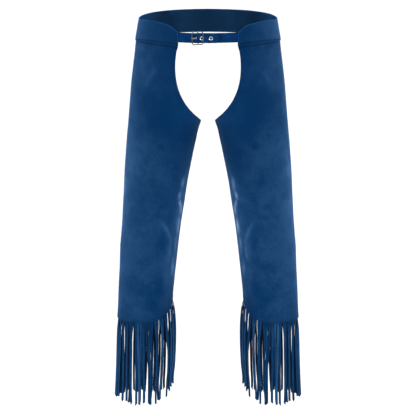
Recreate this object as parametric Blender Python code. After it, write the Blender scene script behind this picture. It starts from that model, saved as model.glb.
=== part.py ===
"""Fringed leather chaps, hollow and filled out as worn, fastened by a strap and buckle in front.

Metres, +Z up. The front faces -Y and the wearer's right is -X. The origin is the middle of the
waist, at the height of the front strap, where the wearer holds the chaps up.

Every cloth piece is laid on one body form. A place on the form is an angle round it and a height:
0 degrees is the outer side of a leg, 90 the front, -90 the back and 180 the inseam.
"""
import math
import random
from collections import namedtuple

import bmesh
import bpy
from mathutils import Matrix, Vector

MM = 0.001

# ---------------------------------------------------------------- driving dimensions, millimetres
LEATHER = 2.0            # wall of a leg panel
YOKE_WALL = 2.2          # wall of the yokes and the back waistband
STRAP_WALL = 1.8         # wall of both straps
FRINGE_WALL = 1.7        # wall of the fringe strip and its strands
SEAM = 0.3               # clear distance between sewn pieces
CROTCH = -235.0          # height of the top of the inseam
HEM = -767.0             # height of the hem at the front, outside and back of a leg
HEM_RISE = 54.0          # how far the hem climbs at the inseam
HEM_RISE_FROM = 100.0    # angle, in degrees, where the hem starts to climb
HEM_RISE_FELT = 190.0    # rows of points bend along with the hem this far above it
YOKE_LAP = 6.5           # how far a leg panel runs up behind its yoke
SIDE_BACK_SEAM = 38.2    # angle behind the outer side, in degrees, of the seam to the waistband
STRAP_HEIGHT = 25.0
STRAP_MIDDLE = 1.2       # height of the straps' middle line
STRANDS = 60             # strands of one leg's fringe
STRAND_LENGTH = 224.0
STRAND_WIDTH = 6.6
STRAND_TAPER = 0.12      # share of its width that a strand loses by its end
STRAND_LAYER = 2.7       # strands hang by turns this far outside and inside the strip
STRAND_SEED = 41         # seed of the small differences between strands
FRINGE_FLARE = 6.5       # how far the outermost strands swing out by their ends
FRINGE_BULGE = 6.5       # how far the strands at the inseam belly out halfway down
FRINGE_SHORTER = 11.0    # how much shorter the outermost strands are
STRAND_WAVE = 5.0        # how much of a wave a strand's sway makes along its length, in radians
PARTING_REACH = 7.5      # angle, in degrees, over which a parting's push dies away
PARTING_OPENS = 0.22     # share of the strands' length over which a parting opens
STRIP_HEIGHT = 13.0      # fringe strip that is sewn behind the hem
STRIP_DROP = 1.5         # how far the strip shows below the hem
STRIP_MARGIN = 3.0       # a row of the leg's points lies this far above the strip
INNER_FACE = 0.2         # distance of the leg panels' inner face from the form
YOKE_FACE = INNER_FACE + LEATHER + SEAM

# ------------------------------------------------------------------ short tables, millimetres
# The body form's inner face. outer: half-width over both legs. core: distance of the middle of
# a leg's section from the centre plane, 0 where both sides share one section. depth: half-depth.
# lean: shift of the section towards the back.
Section = namedtuple("Section", "height outer core depth lean")
FORM = [
    Section(46, 174.8, 0.0, 124.0, 0.0),
    Section(34, 177.2, 0.0, 125.0, 0.0),
    Section(5, 182.2, 0.0, 127.0, 0.0),
    Section(-22, 186.7, 0.0, 128.0, 0.0),
    Section(-45, 189.2, 4.0, 127.0, 0.0),
    Section(-75, 192.9, 13.0, 124.0, 0.0),
    Section(-127, 199.0, 43.0, 116.0, 1.0),
    Section(-180, 204.2, 82.0, 107.0, 2.0),
    Section(-235, 208.3, 114.2, 98.0, 2.0),
    Section(-290, 212.8, 123.9, 95.0, 2.0),
    Section(-340, 215.8, 130.7, 93.0, 1.0),
    Section(-395, 219.0, 137.7, 90.0, 0.0),
    Section(-450, 222.6, 143.6, 87.0, 1.0),
    Section(-500, 225.4, 149.0, 84.0, 3.0),
    Section(-555, 229.4, 154.6, 81.0, 6.0),
    Section(-610, 232.5, 159.2, 78.0, 8.0),
    Section(-665, 234.6, 163.2, 75.0, 8.0),
    Section(-715, 237.3, 166.4, 73.0, 8.0),
    Section(-785, 241.0, 167.0, 73.0, 8.0),
]

# The two edges of the cut-out over crotch and seat. reach: distance from the centre plane.
EdgePoint = namedtuple("EdgePoint", "height reach")
FRONT_EDGE = [
    EdgePoint(14, 78.6), EdgePoint(-12, 76.6), EdgePoint(-22, 77.9), EdgePoint(-30, 80.8),
    EdgePoint(-46, 83.4), EdgePoint(-62, 84.9), EdgePoint(-77, 85.3), EdgePoint(-93, 84.7),
    EdgePoint(-109, 82.9), EdgePoint(-124, 79.9), EdgePoint(-140, 75.1), EdgePoint(-156, 68.3),
    EdgePoint(-172, 59.7), EdgePoint(-189, 47.9), EdgePoint(-203, 36.5), EdgePoint(-219, 23.5),
    EdgePoint(-229, 19.8), EdgePoint(-235, 18.3),
]
BACK_EDGE = [
    EdgePoint(14, 148.5), EdgePoint(-14, 148.5), EdgePoint(-45, 147.0), EdgePoint(-75, 143.5),
    EdgePoint(-110, 137.0), EdgePoint(-140, 126.0), EdgePoint(-170, 109.0), EdgePoint(-190, 94.0),
    EdgePoint(-207, 78.0), EdgePoint(-219, 63.0), EdgePoint(-229, 46.0), EdgePoint(-233, 34.0),
    EdgePoint(-235, 18.3),
]

# Upper and lower edge of the yokes and the back waistband, by angle.
WaistPoint = namedtuple("WaistPoint", "angle top bottom")
WAIST_LINE = [
    WaistPoint(-90, 44.4, -17.2), WaistPoint(-60, 43.8, -17.5), WaistPoint(-40, 42.2, -18.5),
    WaistPoint(-24, 40.0, -19.5), WaistPoint(-8, 36.8, -21.0), WaistPoint(6, 35.2, -20.5),
    WaistPoint(22, 37.6, -18.8), WaistPoint(37, 38.4, -18.8), WaistPoint(45, 36.6, -19.4),
    WaistPoint(51, 34.2, -20.4), WaistPoint(56.5, 31.0, -21.2), WaistPoint(60, 26.4, -22.0),
    WaistPoint(63, 19.0, -22.8), WaistPoint(66, 12.7, -24.0),
]

# The largest soft folds of a leg panel, each a ridge between two places on the form.
Fold = namedtuple("Fold", "angle_a height_a angle_b height_b width rise")
FOLDS = [
    Fold(50, -66, 38, -140, 15, 2.2),        # front of the hip, running down and out
    Fold(-30, -70, -52, -150, 18, 2.4),      # side-back of the hip
    Fold(112, -505, 152, -590, 17, 2.6),     # inner side of the knee
    Fold(152, -590, 158, -690, 14, 2.0),     # its tail down the calf
    Fold(-100, -470, -150, -540, 20, 3.0),   # back of the knee
    Fold(-60, -500, -120, -585, 20, -2.6),   # hollow behind the knee
    Fold(30, -420, 62, -560, 26, 1.8),       # long soft roll over the knee
]

FOLDS_START = (-30.0, -60.0)           # the folds swell from nothing between these heights
FOLDS_END = (HEM + 5.0, HEM + 75.0)    # and have died away between these

# Where the strands of the fringe part. angle: place round the hem. gap: how far the strands on
# either side are pushed apart. start: share of their length where they begin to part.
Parting = namedtuple("Parting", "angle gap start")
PARTINGS = [
    Parting(60, 5.6, 0.0), Parting(36, 2.4, 0.5), Parting(18, 1.6, 0.3),
    Parting(96, 3.6, 0.38), Parting(108, 2.8, 0.1), Parting(120, 3.0, 0.0),
    Parting(132, 3.4, 0.0), Parting(144, 5.0, 0.0),
    Parting(-59, 8.0, 0.0), Parting(-36, 3.2, 0.45), Parting(-12, 2.0, 0.2),
    Parting(-95, 6.0, 0.3), Parting(-108, 3.4, 0.1), Parting(-120, 3.4, 0.0),
    Parting(-131, 4.0, 0.0), Parting(-142, 8.0, 0.0), Parting(-162, 2.0, 0.2),
]

# Face of a strap that looks at the body: distance out from the form, by distance x from the
# middle. half: half the strap's height there.
StrapPoint = namedtuple("StrapPoint", "x out half")
TIP_STRAP = [
    StrapPoint(-98.0, 0.20, 12.5), StrapPoint(-88.0, 0.20, 12.5), StrapPoint(-75.5, 0.20, 12.5),
    StrapPoint(-68.0, 1.60, 12.5), StrapPoint(-58.0, 3.80, 12.5), StrapPoint(-47.0, 5.60, 12.5),
    StrapPoint(-39.8, 6.45, 12.5), StrapPoint(-33.0, 6.85, 12.5), StrapPoint(-28.5, 7.20, 12.5),
    StrapPoint(-24.5, 7.10, 12.5), StrapPoint(-21.8, 6.60, 12.5), StrapPoint(-9.6, 5.30, 12.5),
    StrapPoint(-2.0, 5.30, 12.5), StrapPoint(13.0, 5.30, 12.5), StrapPoint(20.5, 4.60, 12.5),
    StrapPoint(22.4, 4.40, 12.2), StrapPoint(25.2, 4.10, 9.2), StrapPoint(28.2, 3.90, 6.0),
    StrapPoint(30.8, 3.75, 3.5), StrapPoint(32.4, 3.70, 1.9), StrapPoint(33.0, 3.70, 0.8),
]
BUCKLE_STRAP_FRONT = [
    StrapPoint(98.0, 0.20, 12.5), StrapPoint(88.0, 0.20, 12.5), StrapPoint(75.5, 0.20, 12.5),
    StrapPoint(66.0, 0.40, 12.5), StrapPoint(48.0, 0.80, 12.5), StrapPoint(32.0, 1.35, 12.5),
    StrapPoint(18.0, 2.10, 12.5), StrapPoint(8.0, 2.35, 12.5), StrapPoint(-4.0, 2.35, 12.5),
    StrapPoint(-12.6, 2.40, 12.5), StrapPoint(-16.5, 2.75, 12.5), StrapPoint(-20.8, 3.70, 12.5),
]
BUCKLE_STRAP_RETURN = [
    StrapPoint(-20.8, 0.18, 12.5), StrapPoint(-12.0, 0.20, 12.5), StrapPoint(-2.0, 0.22, 12.5),
    StrapPoint(8.0, 0.25, 12.5),
]

# ------------------------------------------------------------------ buckle and eyelets
BUCKLE_X = -25.7         # middle of the buckle
BUCKLE_WIRE = 1.25       # radius of its wire
BUCKLE_HALF_WIDTH = 14.1
BUCKLE_HALF_HEIGHT = 16.7
BUCKLE_CORNER = 4.5      # corner radius of the frame
RAIL_BOW = 12.1          # the rails start to bow in at this distance from the middle bar
BUCKLE_TILT = 3.0        # degrees, top towards the wearer's right
FRAME_OUT = 9.9          # distance of the side bars from the form
MIDDLE_BAR_OUT = 3.5     # distance of the middle bar from the form
PRONG_HALF_WIDTH = 1.6
PRONG_HALF_WALL = 0.9
SLOT_HALF_HEIGHT = 2.3   # slot in the folded strap, for the prong
SLOT_END = -20.8         # the slot runs round the fold from here back to here
LEAN_START = 6.0         # the folded strap starts to lean with the buckle here
PRONG_HOLE_X = -28.7
PRONG_HOLE_RADIUS = 2.4
CURL_OPENING = 38.0      # degrees of the middle bar that the prong's curl leaves bare
EYELETS_X = (-15.7, 7.5)
EYELET_HOLE_RADIUS = 2.5
EYELET_RIM_RADIUS = 5.2
EYELET_SEAT_RADIUS = 3.5

# The prong after its curl. along: distance past the curl's outer side. out: distance from the
# form. It passes out through the straps, then bends down onto the frame.
PRONG_REST = FRAME_OUT + BUCKLE_WIRE + SEAM + PRONG_HALF_WALL
ProngPoint = namedtuple("ProngPoint", "along out")
PRONG = [
    ProngPoint(0.2, 6.4), ProngPoint(0.5, 9.3), ProngPoint(1.3, 11.2),
    ProngPoint(3.0, PRONG_REST - 0.35), ProngPoint(6.0, PRONG_REST),
]
PRONG_TIP = ProngPoint(0.9, PRONG_REST - 0.1)    # along: distance past the side bar's middle

# Half-section of an eyelet: radius and height over the middle of the strap's wall.
EyeletPoint = namedtuple("EyeletPoint", "radius height")
EYELET_SECTION = [
    EyeletPoint(EYELET_HOLE_RADIUS, -1.3), EyeletPoint(2.9, -1.65), EyeletPoint(4.3, -1.6),
    EyeletPoint(4.3, -1.15), EyeletPoint(3.2, -1.15), EyeletPoint(3.2, 1.15),
    EyeletPoint(EYELET_RIM_RADIUS, 1.15), EyeletPoint(EYELET_RIM_RADIUS, 1.55),
    EyeletPoint(4.4, 1.95), EyeletPoint(3.2, 1.95), EyeletPoint(EYELET_HOLE_RADIUS, 1.5),
]

# ------------------------------------------------------------------ fineness
LEG_COLUMNS = STRANDS // 2   # two strands hang from each column's chord
EDGE_COLUMNS = 11            # of them, how many end on each edge of the cut-out
INSEAM_LEAD = 26.0           # the columns start to lean this far below the crotch
LEG_UPPER_ROWS = 11
LEG_LOWER_ROWS = 13
YOKE_COLUMNS = 18
BAND_COLUMNS = 16
WAIST_ROWS = 4
STRAND_STEPS = (0.07, 0.28, 0.52, 0.77, 1.0)
ROUND_STEPS = 16             # sides of a hole and of an eyelet


# ------------------------------------------------------------------ smooth curves
class Curve:
    """A smooth curve through the points (x, y), with no overshoot between them."""

    def __init__(self, points):
        ordered = sorted(points)
        self.x = [point[0] for point in ordered]
        self.y = [point[1] for point in ordered]
        steps = range(len(self.x) - 1)
        rise = [(self.y[i + 1] - self.y[i]) / (self.x[i + 1] - self.x[i]) for i in steps]
        self.slope = [rise[0]]
        for before, after in zip(rise, rise[1:]):
            mean = 2 * before * after / (before + after) if before * after > 0 else 0.0
            self.slope.append(mean)
        self.slope.append(rise[-1])

    def __call__(self, x):
        x = min(max(x, self.x[0]), self.x[-1])
        i = 0
        while i < len(self.x) - 2 and x > self.x[i + 1]:
            i += 1
        span = self.x[i + 1] - self.x[i]
        t = (x - self.x[i]) / span
        start = (1 + 2 * t) * (1 - t) ** 2 * self.y[i] + t * (1 - t) ** 2 * span * self.slope[i]
        end = t * t * (3 - 2 * t) * self.y[i + 1] - t * t * (1 - t) * span * self.slope[i + 1]
        return start + end


def column(table, key, value):
    """The curve of one column of a table over another."""
    return Curve([(getattr(row, key), getattr(row, value)) for row in table])


def smooth_step(low, high, value):
    t = min(max((value - low) / (high - low), 0.0), 1.0)
    return t * t * (3 - 2 * t)


OUTER = column(FORM, "height", "outer")
CORE = column(FORM, "height", "core")
DEPTH = column(FORM, "height", "depth")
LEAN = column(FORM, "height", "lean")
FRONT_REACH = column(FRONT_EDGE, "height", "reach")
BACK_REACH = column(BACK_EDGE, "height", "reach")
WAIST_TOP = column(WAIST_LINE, "angle", "top")
WAIST_BOTTOM = column(WAIST_LINE, "angle", "bottom")


# ------------------------------------------------------------------ the body form
def bare_point(angle, height):
    """A point on the form without folds, in millimetres, on the +X side."""
    turn = math.radians(angle)
    core = CORE(height)
    x = core + (OUTER(height) - core) * math.cos(turn)
    y = LEAN(height) - DEPTH(height) * math.sin(turn)
    return Vector((x, y, height))


def outward(angle, height):
    """The form's outward direction at a place."""
    along = bare_point(angle + 1, height) - bare_point(angle - 1, height)
    up = bare_point(angle, height + 2) - bare_point(angle, height - 2)
    return up.cross(along).normalized()


def fold_rise(angle, height):
    """How far the folds push the leather out at a place."""
    total = 0.0
    for fold in FOLDS:
        scale = math.radians(1) * DEPTH(height)
        run = Vector(((fold.angle_b - fold.angle_a) * scale, fold.height_b - fold.height_a))
        place = Vector(((angle - fold.angle_a) * scale, height - fold.height_a))
        share = place.dot(run) / run.length_squared
        beside = (place - run * min(max(share, 0.0), 1.0)).length / fold.width
        swell = math.sin(math.pi * min(max(share * 0.8 + 0.1, 0.0), 1.0))
        total += fold.rise * swell * math.exp(-beside * beside)
    below_yoke = smooth_step(*FOLDS_START, height)
    above_hem = smooth_step(*FOLDS_END, height)
    return total * below_yoke * above_hem


def form_point(angle, height, out):
    """A point a distance out from the folded form, in millimetres, on the +X side."""
    lift = out + fold_rise(angle, height)
    return bare_point(angle, height) + outward(angle, height) * lift


def edge_angle(reach, height):
    """The angle at which the form stands a given distance from the centre plane."""
    core = CORE(height)
    share = (reach - core) / (OUTER(height) + LEATHER - core)
    return math.degrees(math.acos(min(max(share, -1.0), 1.0)))


def half_seam_angle(height):
    """Half the seam's clear distance at the inseam, as an angle."""
    return math.degrees(SEAM / 2 / DEPTH(height))


def front_angle(height):
    limit = 180 - half_seam_angle(height)
    return limit if height <= CROTCH else min(edge_angle(FRONT_REACH(height), height), limit)


def back_angle(height):
    limit = 180 - half_seam_angle(height)
    return -limit if height <= CROTCH else -min(edge_angle(BACK_REACH(height), height), limit)


def hem_height(angle):
    """Height of the hem, which climbs towards the inseam."""
    share = max(abs(angle) - HEM_RISE_FROM, 0.0) / (180 - HEM_RISE_FROM)
    return HEM + HEM_RISE * share ** 1.5


# ------------------------------------------------------------------ building solids
def make_material(name, colour, roughness, metallic=0.0):
    material = bpy.data.materials.new(name)
    material.use_nodes = True
    shader = material.node_tree.nodes["Principled BSDF"]
    shader.inputs["Base Color"].default_value = (*colour, 1.0)
    shader.inputs["Roughness"].default_value = roughness
    shader.inputs["Metallic"].default_value = metallic
    return material


def finish(name, mesh, material, sharp_angle=40):
    """Turns a bmesh, in millimetres, into the finished object."""
    bmesh.ops.recalc_face_normals(mesh, faces=mesh.faces)
    bmesh.ops.scale(mesh, vec=Vector((MM, MM, MM)), verts=mesh.verts)
    data = bpy.data.meshes.new(name)
    mesh.to_mesh(data)
    mesh.free()
    data.shade_smooth()
    data.set_sharp_from_angle(angle=math.radians(sharp_angle))
    data.materials.append(material)
    obj = bpy.data.objects.new(name, data)
    bpy.context.scene.collection.objects.link(obj)
    return obj


def mirrored(points, side):
    """A grid of points for the wearer's left (side 1) or right (side -1)."""
    return [[Vector((side * p.x, p.y, p.z)) for p in row] for row in points]


def wall(front, back, holes=()):
    """A closed wall between two grids of points. holes are the (row, column) cells left out."""
    mesh = bmesh.new()
    rows, columns = len(front), len(front[0])
    outer = [[mesh.verts.new(p) for p in row] for row in front]
    inner = [[mesh.verts.new(p) for p in row] for row in back]
    edge_uses = {}
    for i in range(rows - 1):
        for j in range(columns - 1):
            if (i, j) in holes:
                continue
            corners = [(i, j), (i, j + 1), (i + 1, j + 1), (i + 1, j)]
            mesh.faces.new([outer[a][b] for a, b in corners])
            mesh.faces.new([inner[a][b] for a, b in reversed(corners)])
            for start, end in zip(corners, corners[1:] + corners[:1]):
                edge_uses.setdefault(frozenset((start, end)), []).append((start, end))
    for uses in edge_uses.values():
        if len(uses) == 1:
            (a, b), (c, d) = uses[0]
            mesh.faces.new([outer[c][d], outer[a][b], inner[a][b], inner[c][d]])
    loose = [v for v in mesh.verts if not v.link_faces]
    bmesh.ops.delete(mesh, geom=loose, context="VERTS")
    return mesh


# ------------------------------------------------------------------ leather pieces
def edge_walk(angle_at, top, count):
    """Places evenly spaced along one edge of the cut-out, from the crotch up to the yoke."""
    samples = 240
    heights = [CROTCH + (top - CROTCH) * (k / samples) ** 2 for k in range(samples + 1)]
    places = [(angle_at(height), height) for height in heights]
    points = [bare_point(*place) for place in places]
    walked = [0.0]
    for before, after in zip(points, points[1:]):
        walked.append(walked[-1] + (after - before).length)
    angles = Curve(list(zip(walked, [place[0] for place in places])))
    levels = Curve(list(zip(walked, [place[1] for place in places])))
    return [(angles(walked[-1] * k / count), levels(walked[-1] * k / count))
            for k in range(count + 1)]


def leg_top_edge():
    """Where each column of a leg panel ends: front edge, under the yoke, back edge."""
    front_top = WAIST_BOTTOM(WAIST_LINE[-1].angle) + YOKE_LAP
    back_top = WAIST_BOTTOM(-SIDE_BACK_SEAM) + YOKE_LAP
    front = edge_walk(front_angle, front_top, EDGE_COLUMNS)
    back = edge_walk(back_angle, back_top, EDGE_COLUMNS)
    first, last = front[-1][0], back[-1][0]
    under_yoke = LEG_COLUMNS - 2 * EDGE_COLUMNS
    middle = [first + (last - first) * k / under_yoke for k in range(1, under_yoke)]
    return front + [(angle, WAIST_BOTTOM(angle) + YOKE_LAP) for angle in middle] + back[::-1]


def column_angles(height):
    """Even angles round a closed leg, from the front of the inseam to the back of it."""
    limit = 180 - half_seam_angle(height)
    return [limit - 2 * limit * j / LEG_COLUMNS for j in range(LEG_COLUMNS + 1)]


def leg_grid(out):
    """Points of a leg panel, row by row from the top edge to the hem."""
    base = CROTCH - INSEAM_LEAD
    grid = []
    for i in range(LEG_UPPER_ROWS, 0, -1):
        share = i / LEG_UPPER_ROWS
        row = []
        for below, (top_angle, top_height) in zip(column_angles(base), leg_top_edge()):
            angle = below + (top_angle - below) * share
            row.append(form_point(angle, base + (top_height - base) * share, out))
        grid.append(row)
    strip_top = HEM + STRIP_HEIGHT + STRIP_MARGIN
    levels = [base + (strip_top - base) * k / LEG_LOWER_ROWS for k in range(LEG_LOWER_ROWS + 1)]
    for level in levels + [HEM]:
        to_hem = smooth_step(HEM + HEM_RISE_FELT, HEM, level)
        grid.append([form_point(angle, level + to_hem * (hem_height(angle) - HEM), out)
                     for angle in column_angles(level)])
    return grid


def make_leg(name, side, material):
    front = mirrored(leg_grid(INNER_FACE + LEATHER), side)
    back = mirrored(leg_grid(INNER_FACE), side)
    return finish(name, wall(front, back), material)


def waist_grid(first, last, columns, out):
    """Points of a yoke or the back waistband between two angles."""
    grid = []
    for i in range(WAIST_ROWS + 1):
        row = []
        for j in range(columns + 1):
            share = j / columns
            angle = first(0.0) + (last - first(0.0)) * share
            top, bottom = WAIST_TOP(angle), WAIST_BOTTOM(angle)
            height = top + (bottom - top) * i / WAIST_ROWS
            edge = first(height) + (last - first(height)) * share
            row.append(form_point(edge, height, out))
        grid.append(row)
    return grid


def make_yoke(name, side, material):
    half_seam = math.degrees(SEAM / 2 / OUTER(0))
    last = -SIDE_BACK_SEAM + half_seam

    def first(height):
        return edge_angle(FRONT_REACH(height), height)

    front = mirrored(waist_grid(first, last, YOKE_COLUMNS, YOKE_FACE + YOKE_WALL), side)
    back = mirrored(waist_grid(first, last, YOKE_COLUMNS, YOKE_FACE), side)
    return finish(name, wall(front, back), material)


def band_grid(out):
    """Points of the back waistband, from the wearer's left seam to the right one."""
    half_seam = math.degrees(SEAM / 2 / OUTER(0))
    first = -SIDE_BACK_SEAM - half_seam
    grid = []
    for i in range(WAIST_ROWS + 1):
        row = []
        for j in range(BAND_COLUMNS + 1):
            angle = first + (-180 - 2 * first) * j / BAND_COLUMNS
            mirror_angle = angle if angle >= -90 else -180 - angle
            top, bottom = WAIST_TOP(mirror_angle), WAIST_BOTTOM(mirror_angle)
            height = top + (bottom - top) * i / WAIST_ROWS
            row.append(form_point(angle, height, out))
        grid.append(row)
    return grid


def make_band(name, material):
    return finish(name, wall(band_grid(YOKE_FACE + YOKE_WALL), band_grid(YOKE_FACE)), material)


# ------------------------------------------------------------------ straps
def strap_place(x, out, height):
    """A point out from the form at a distance x from the middle, on either side of it."""
    angle = math.degrees(math.acos(x / OUTER(0)))
    level = height + STRAP_MIDDLE
    return bare_point(angle, level) + outward(angle, level) * out


def buckle_lean(x, height):
    """Sideways shift that carries the strap's folded end along with the tilted buckle."""
    share = smooth_step(LEAN_START, SLOT_END, x)
    return -height * math.sin(math.radians(BUCKLE_TILT)) * share


def strap_faces(path, leans):
    """The two faces of a strap along a path of (x, out, half) for the middle of its wall."""
    faces = ([], [])
    for i, (x, out, half) in enumerate(path):
        before, after = path[max(i - 1, 0)], path[min(i + 1, len(path) - 1)]
        along = Vector((after[0] - before[0], after[1] - before[1])).normalized()
        for face, sign in zip(faces, (1, -1)):
            face_x = x - sign * along.y * STRAP_WALL / 2
            face_out = out + sign * along.x * STRAP_WALL / 2
            row = []
            for height in (-half, -min(half, SLOT_HALF_HEIGHT), min(half, SLOT_HALF_HEIGHT), half):
                shift = buckle_lean(face_x, height) if leans else 0.0
                row.append(strap_place(face_x + shift, face_out, height))
            face.append(row)
    return faces


def distinct_levels(faces):
    """Keeps the outer pair of levels only, for a strap with no slot."""
    return [[[row[0], row[3]] for row in face] for face in faces]


def cut_hole(strap, centre, axis, radius):
    """Cuts a round hole through a strap with a hidden cutter."""
    mesh = bmesh.new()
    bmesh.ops.create_cone(mesh, cap_ends=True, segments=ROUND_STEPS, radius1=radius * MM,
                          radius2=radius * MM, depth=4 * STRAP_WALL * MM)
    data = bpy.data.meshes.new(strap.name + "_cutter")
    mesh.to_mesh(data)
    mesh.free()
    cutter = bpy.data.objects.new(data.name, data)
    bpy.context.scene.collection.objects.link(cutter)
    cutter.matrix_world = placed(centre, axis)
    cutter.hide_render = True
    cutter.display_type = "WIRE"
    cut = strap.modifiers.new("hole", "BOOLEAN")
    cut.operation = "DIFFERENCE"
    cut.object = cutter


def placed(centre, axis):
    """The matrix that puts an upright thing at a point, given in millimetres, along an axis."""
    return Matrix.Translation(centre * MM) @ axis.to_track_quat("Z", "X").to_matrix().to_4x4()


def tip_strap_seat(x):
    """Middle of the tip strap's wall at a distance x, and the direction straight out of it."""
    before = max((p for p in TIP_STRAP if p.x <= x), key=lambda p: p.x)
    after = min((p for p in TIP_STRAP if p.x > x), key=lambda p: p.x)
    start = strap_place(before.x, before.out + STRAP_WALL / 2, 0)
    end = strap_place(after.x, after.out + STRAP_WALL / 2, 0)
    share = (x - before.x) / (after.x - before.x)
    up = strap_place(x, 0, 10) - strap_place(x, 0, -10)
    return start.lerp(end, share), (end - start).cross(up).normalized()


def make_tip_strap(name, material):
    path = [(p.x, p.out + STRAP_WALL / 2, p.half) for p in TIP_STRAP]
    front, back = distinct_levels(strap_faces(path, leans=False))
    strap = finish(name, wall(front, back), material)
    holes = [(x, EYELET_SEAT_RADIUS) for x in EYELETS_X] + [(PRONG_HOLE_X, PRONG_HOLE_RADIUS)]
    for x, radius in holes:
        centre, axis = tip_strap_seat(x)
        cut_hole(strap, centre, axis, radius)
    return strap


def make_buckle_strap(name, material):
    path = [(p.x, p.out + STRAP_WALL / 2, p.half) for p in BUCKLE_STRAP_FRONT]
    radius = BUCKLE_WIRE + SEAM + STRAP_WALL / 2
    turns = 7
    for k in range(turns + 1):
        turn = math.pi * (0.5 + k / turns)
        path.append((BUCKLE_X + radius * math.cos(turn), MIDDLE_BAR_OUT + radius * math.sin(turn),
                     STRAP_HEIGHT / 2))
    path += [(p.x, p.out + STRAP_WALL / 2, p.half) for p in BUCKLE_STRAP_RETURN]
    first = len(BUCKLE_STRAP_FRONT) - 1
    last = first + turns + 2
    front, back = strap_faces(path, leans=True)
    slot = {(i, 1) for i in range(first, last)}
    return finish(name, wall(front, back, holes=slot), material)


# ------------------------------------------------------------------ buckle
def sweep(path, half_width, half_wall, sides, closed):
    """A round or flat bar along a path of (point, across, out) in millimetres."""
    mesh = bmesh.new()
    rings = []
    for point, across, out in path:
        ring = []
        for k in range(sides):
            turn = 2 * math.pi * (k + 0.5) / sides
            grow = 1 / math.cos(math.pi / sides) if sides == 4 else 1.0
            offset = across * (half_width * grow * math.cos(turn))
            offset += out * (half_wall * grow * math.sin(turn))
            ring.append(mesh.verts.new(point + offset))
        rings.append(ring)
    pairs = list(zip(rings, rings[1:]))
    if closed:
        pairs.append((rings[-1], rings[0]))
    for ring, following in pairs:
        for k in range(sides):
            m = (k + 1) % sides
            mesh.faces.new([ring[k], ring[m], following[m], following[k]])
    if not closed:
        mesh.faces.new(rings[0])
        mesh.faces.new(list(reversed(rings[-1])))
    return mesh


def buckle_place(x, out, height):
    """A point of the buckle from its own flat layout, tilted about its middle."""
    tilt = math.radians(BUCKLE_TILT)
    turned_x = BUCKLE_X + x * math.cos(tilt) - height * math.sin(tilt)
    turned_height = height * math.cos(tilt) + x * math.sin(tilt)
    along = (strap_place(BUCKLE_X + 1, 0, 0) - strap_place(BUCKLE_X - 1, 0, 0)).normalized()
    up = (strap_place(BUCKLE_X, 0, 10) - strap_place(BUCKLE_X, 0, -10)).normalized()
    level = strap_place(BUCKLE_X, 0, 0) + along * (turned_x - BUCKLE_X) + up * turned_height
    return level + along.cross(up).normalized() * out


def rail_out(x):
    """The rails bow from the side bars in towards the middle bar."""
    share = 0.5 + 0.5 * math.cos(math.pi * min(abs(x) / RAIL_BOW, 1.0))
    return FRAME_OUT + (MIDDLE_BAR_OUT - FRAME_OUT) * share


def frame_outline():
    """The frame's centre line as (x, height) pairs, anticlockwise from the lower right corner."""
    corner_steps, rail_steps = 3, 8
    wide, tall = BUCKLE_HALF_WIDTH - BUCKLE_CORNER, BUCKLE_HALF_HEIGHT - BUCKLE_CORNER
    outline = []
    for quarter, (x, z) in enumerate([(wide, tall), (-wide, tall), (-wide, -tall), (wide, -tall)]):
        for k in range(corner_steps + 1):
            turn = math.pi / 2 * (quarter + k / corner_steps)
            outline.append((x + BUCKLE_CORNER * math.cos(turn), z + BUCKLE_CORNER * math.sin(turn)))
        if quarter in (0, 2):
            start = outline[-1][0]
            outline += [(start * (1 - 2 * k / rail_steps), outline[-1][1])
                        for k in range(1, rail_steps)]
    return outline


def make_buckle_frame(name, material):
    outline = frame_outline()
    points = [buckle_place(x, rail_out(x), z) for x, z in outline]
    path = []
    for i, point in enumerate(points):
        along = (points[(i + 1) % len(points)] - points[i - 1]).normalized()
        out = Vector((0, -1, 0))
        across = along.cross(out).normalized()
        path.append((point, across, across.cross(along).normalized()))
    frame = finish(name, sweep(path, BUCKLE_WIRE, BUCKLE_WIRE, 8, closed=True), material, 60)
    ends = [buckle_place(0, MIDDLE_BAR_OUT, z) for z in (-BUCKLE_HALF_HEIGHT, BUCKLE_HALF_HEIGHT)]
    along = (ends[1] - ends[0]).normalized()
    across = along.cross(Vector((0, -1, 0))).normalized()
    out = across.cross(along).normalized()
    bar = finish(name + "_bar", sweep([(end, across, out) for end in ends], BUCKLE_WIRE, BUCKLE_WIRE,
                                      8, closed=False), material, 60)
    bar.hide_render = True
    bar.display_type = "WIRE"
    join = frame.modifiers.new("middle bar", "BOOLEAN")
    join.operation = "UNION"
    join.object = bar
    return frame


def make_prong(name, material):
    """Flat wire curled round the middle bar, out through the strap and over the side bar."""
    radius = BUCKLE_WIRE + SEAM + PRONG_HALF_WALL
    curl_steps = 9
    flat = []
    for k in range(curl_steps + 1):
        turn = math.radians(CURL_OPENING - (CURL_OPENING + 180) * k / curl_steps)
        flat.append((radius * math.cos(turn), MIDDLE_BAR_OUT + radius * math.sin(turn)))
    flat += [(-radius - place.along, place.out) for place in PRONG]
    flat += [(-BUCKLE_HALF_WIDTH, PRONG_REST), (-BUCKLE_HALF_WIDTH - PRONG_TIP.along, PRONG_TIP.out)]
    points = [buckle_place(x, out, 0) for x, out in flat]
    up = (buckle_place(0, 0, 1) - buckle_place(0, 0, -1)).normalized()
    path = []
    for i, point in enumerate(points):
        along = (points[min(i + 1, len(points) - 1)] - points[max(i - 1, 0)]).normalized()
        path.append((point, up, up.cross(along).normalized()))
    mesh = sweep(path, PRONG_HALF_WIDTH, PRONG_HALF_WALL, 4, closed=False)
    return finish(name, mesh, material)


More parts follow.
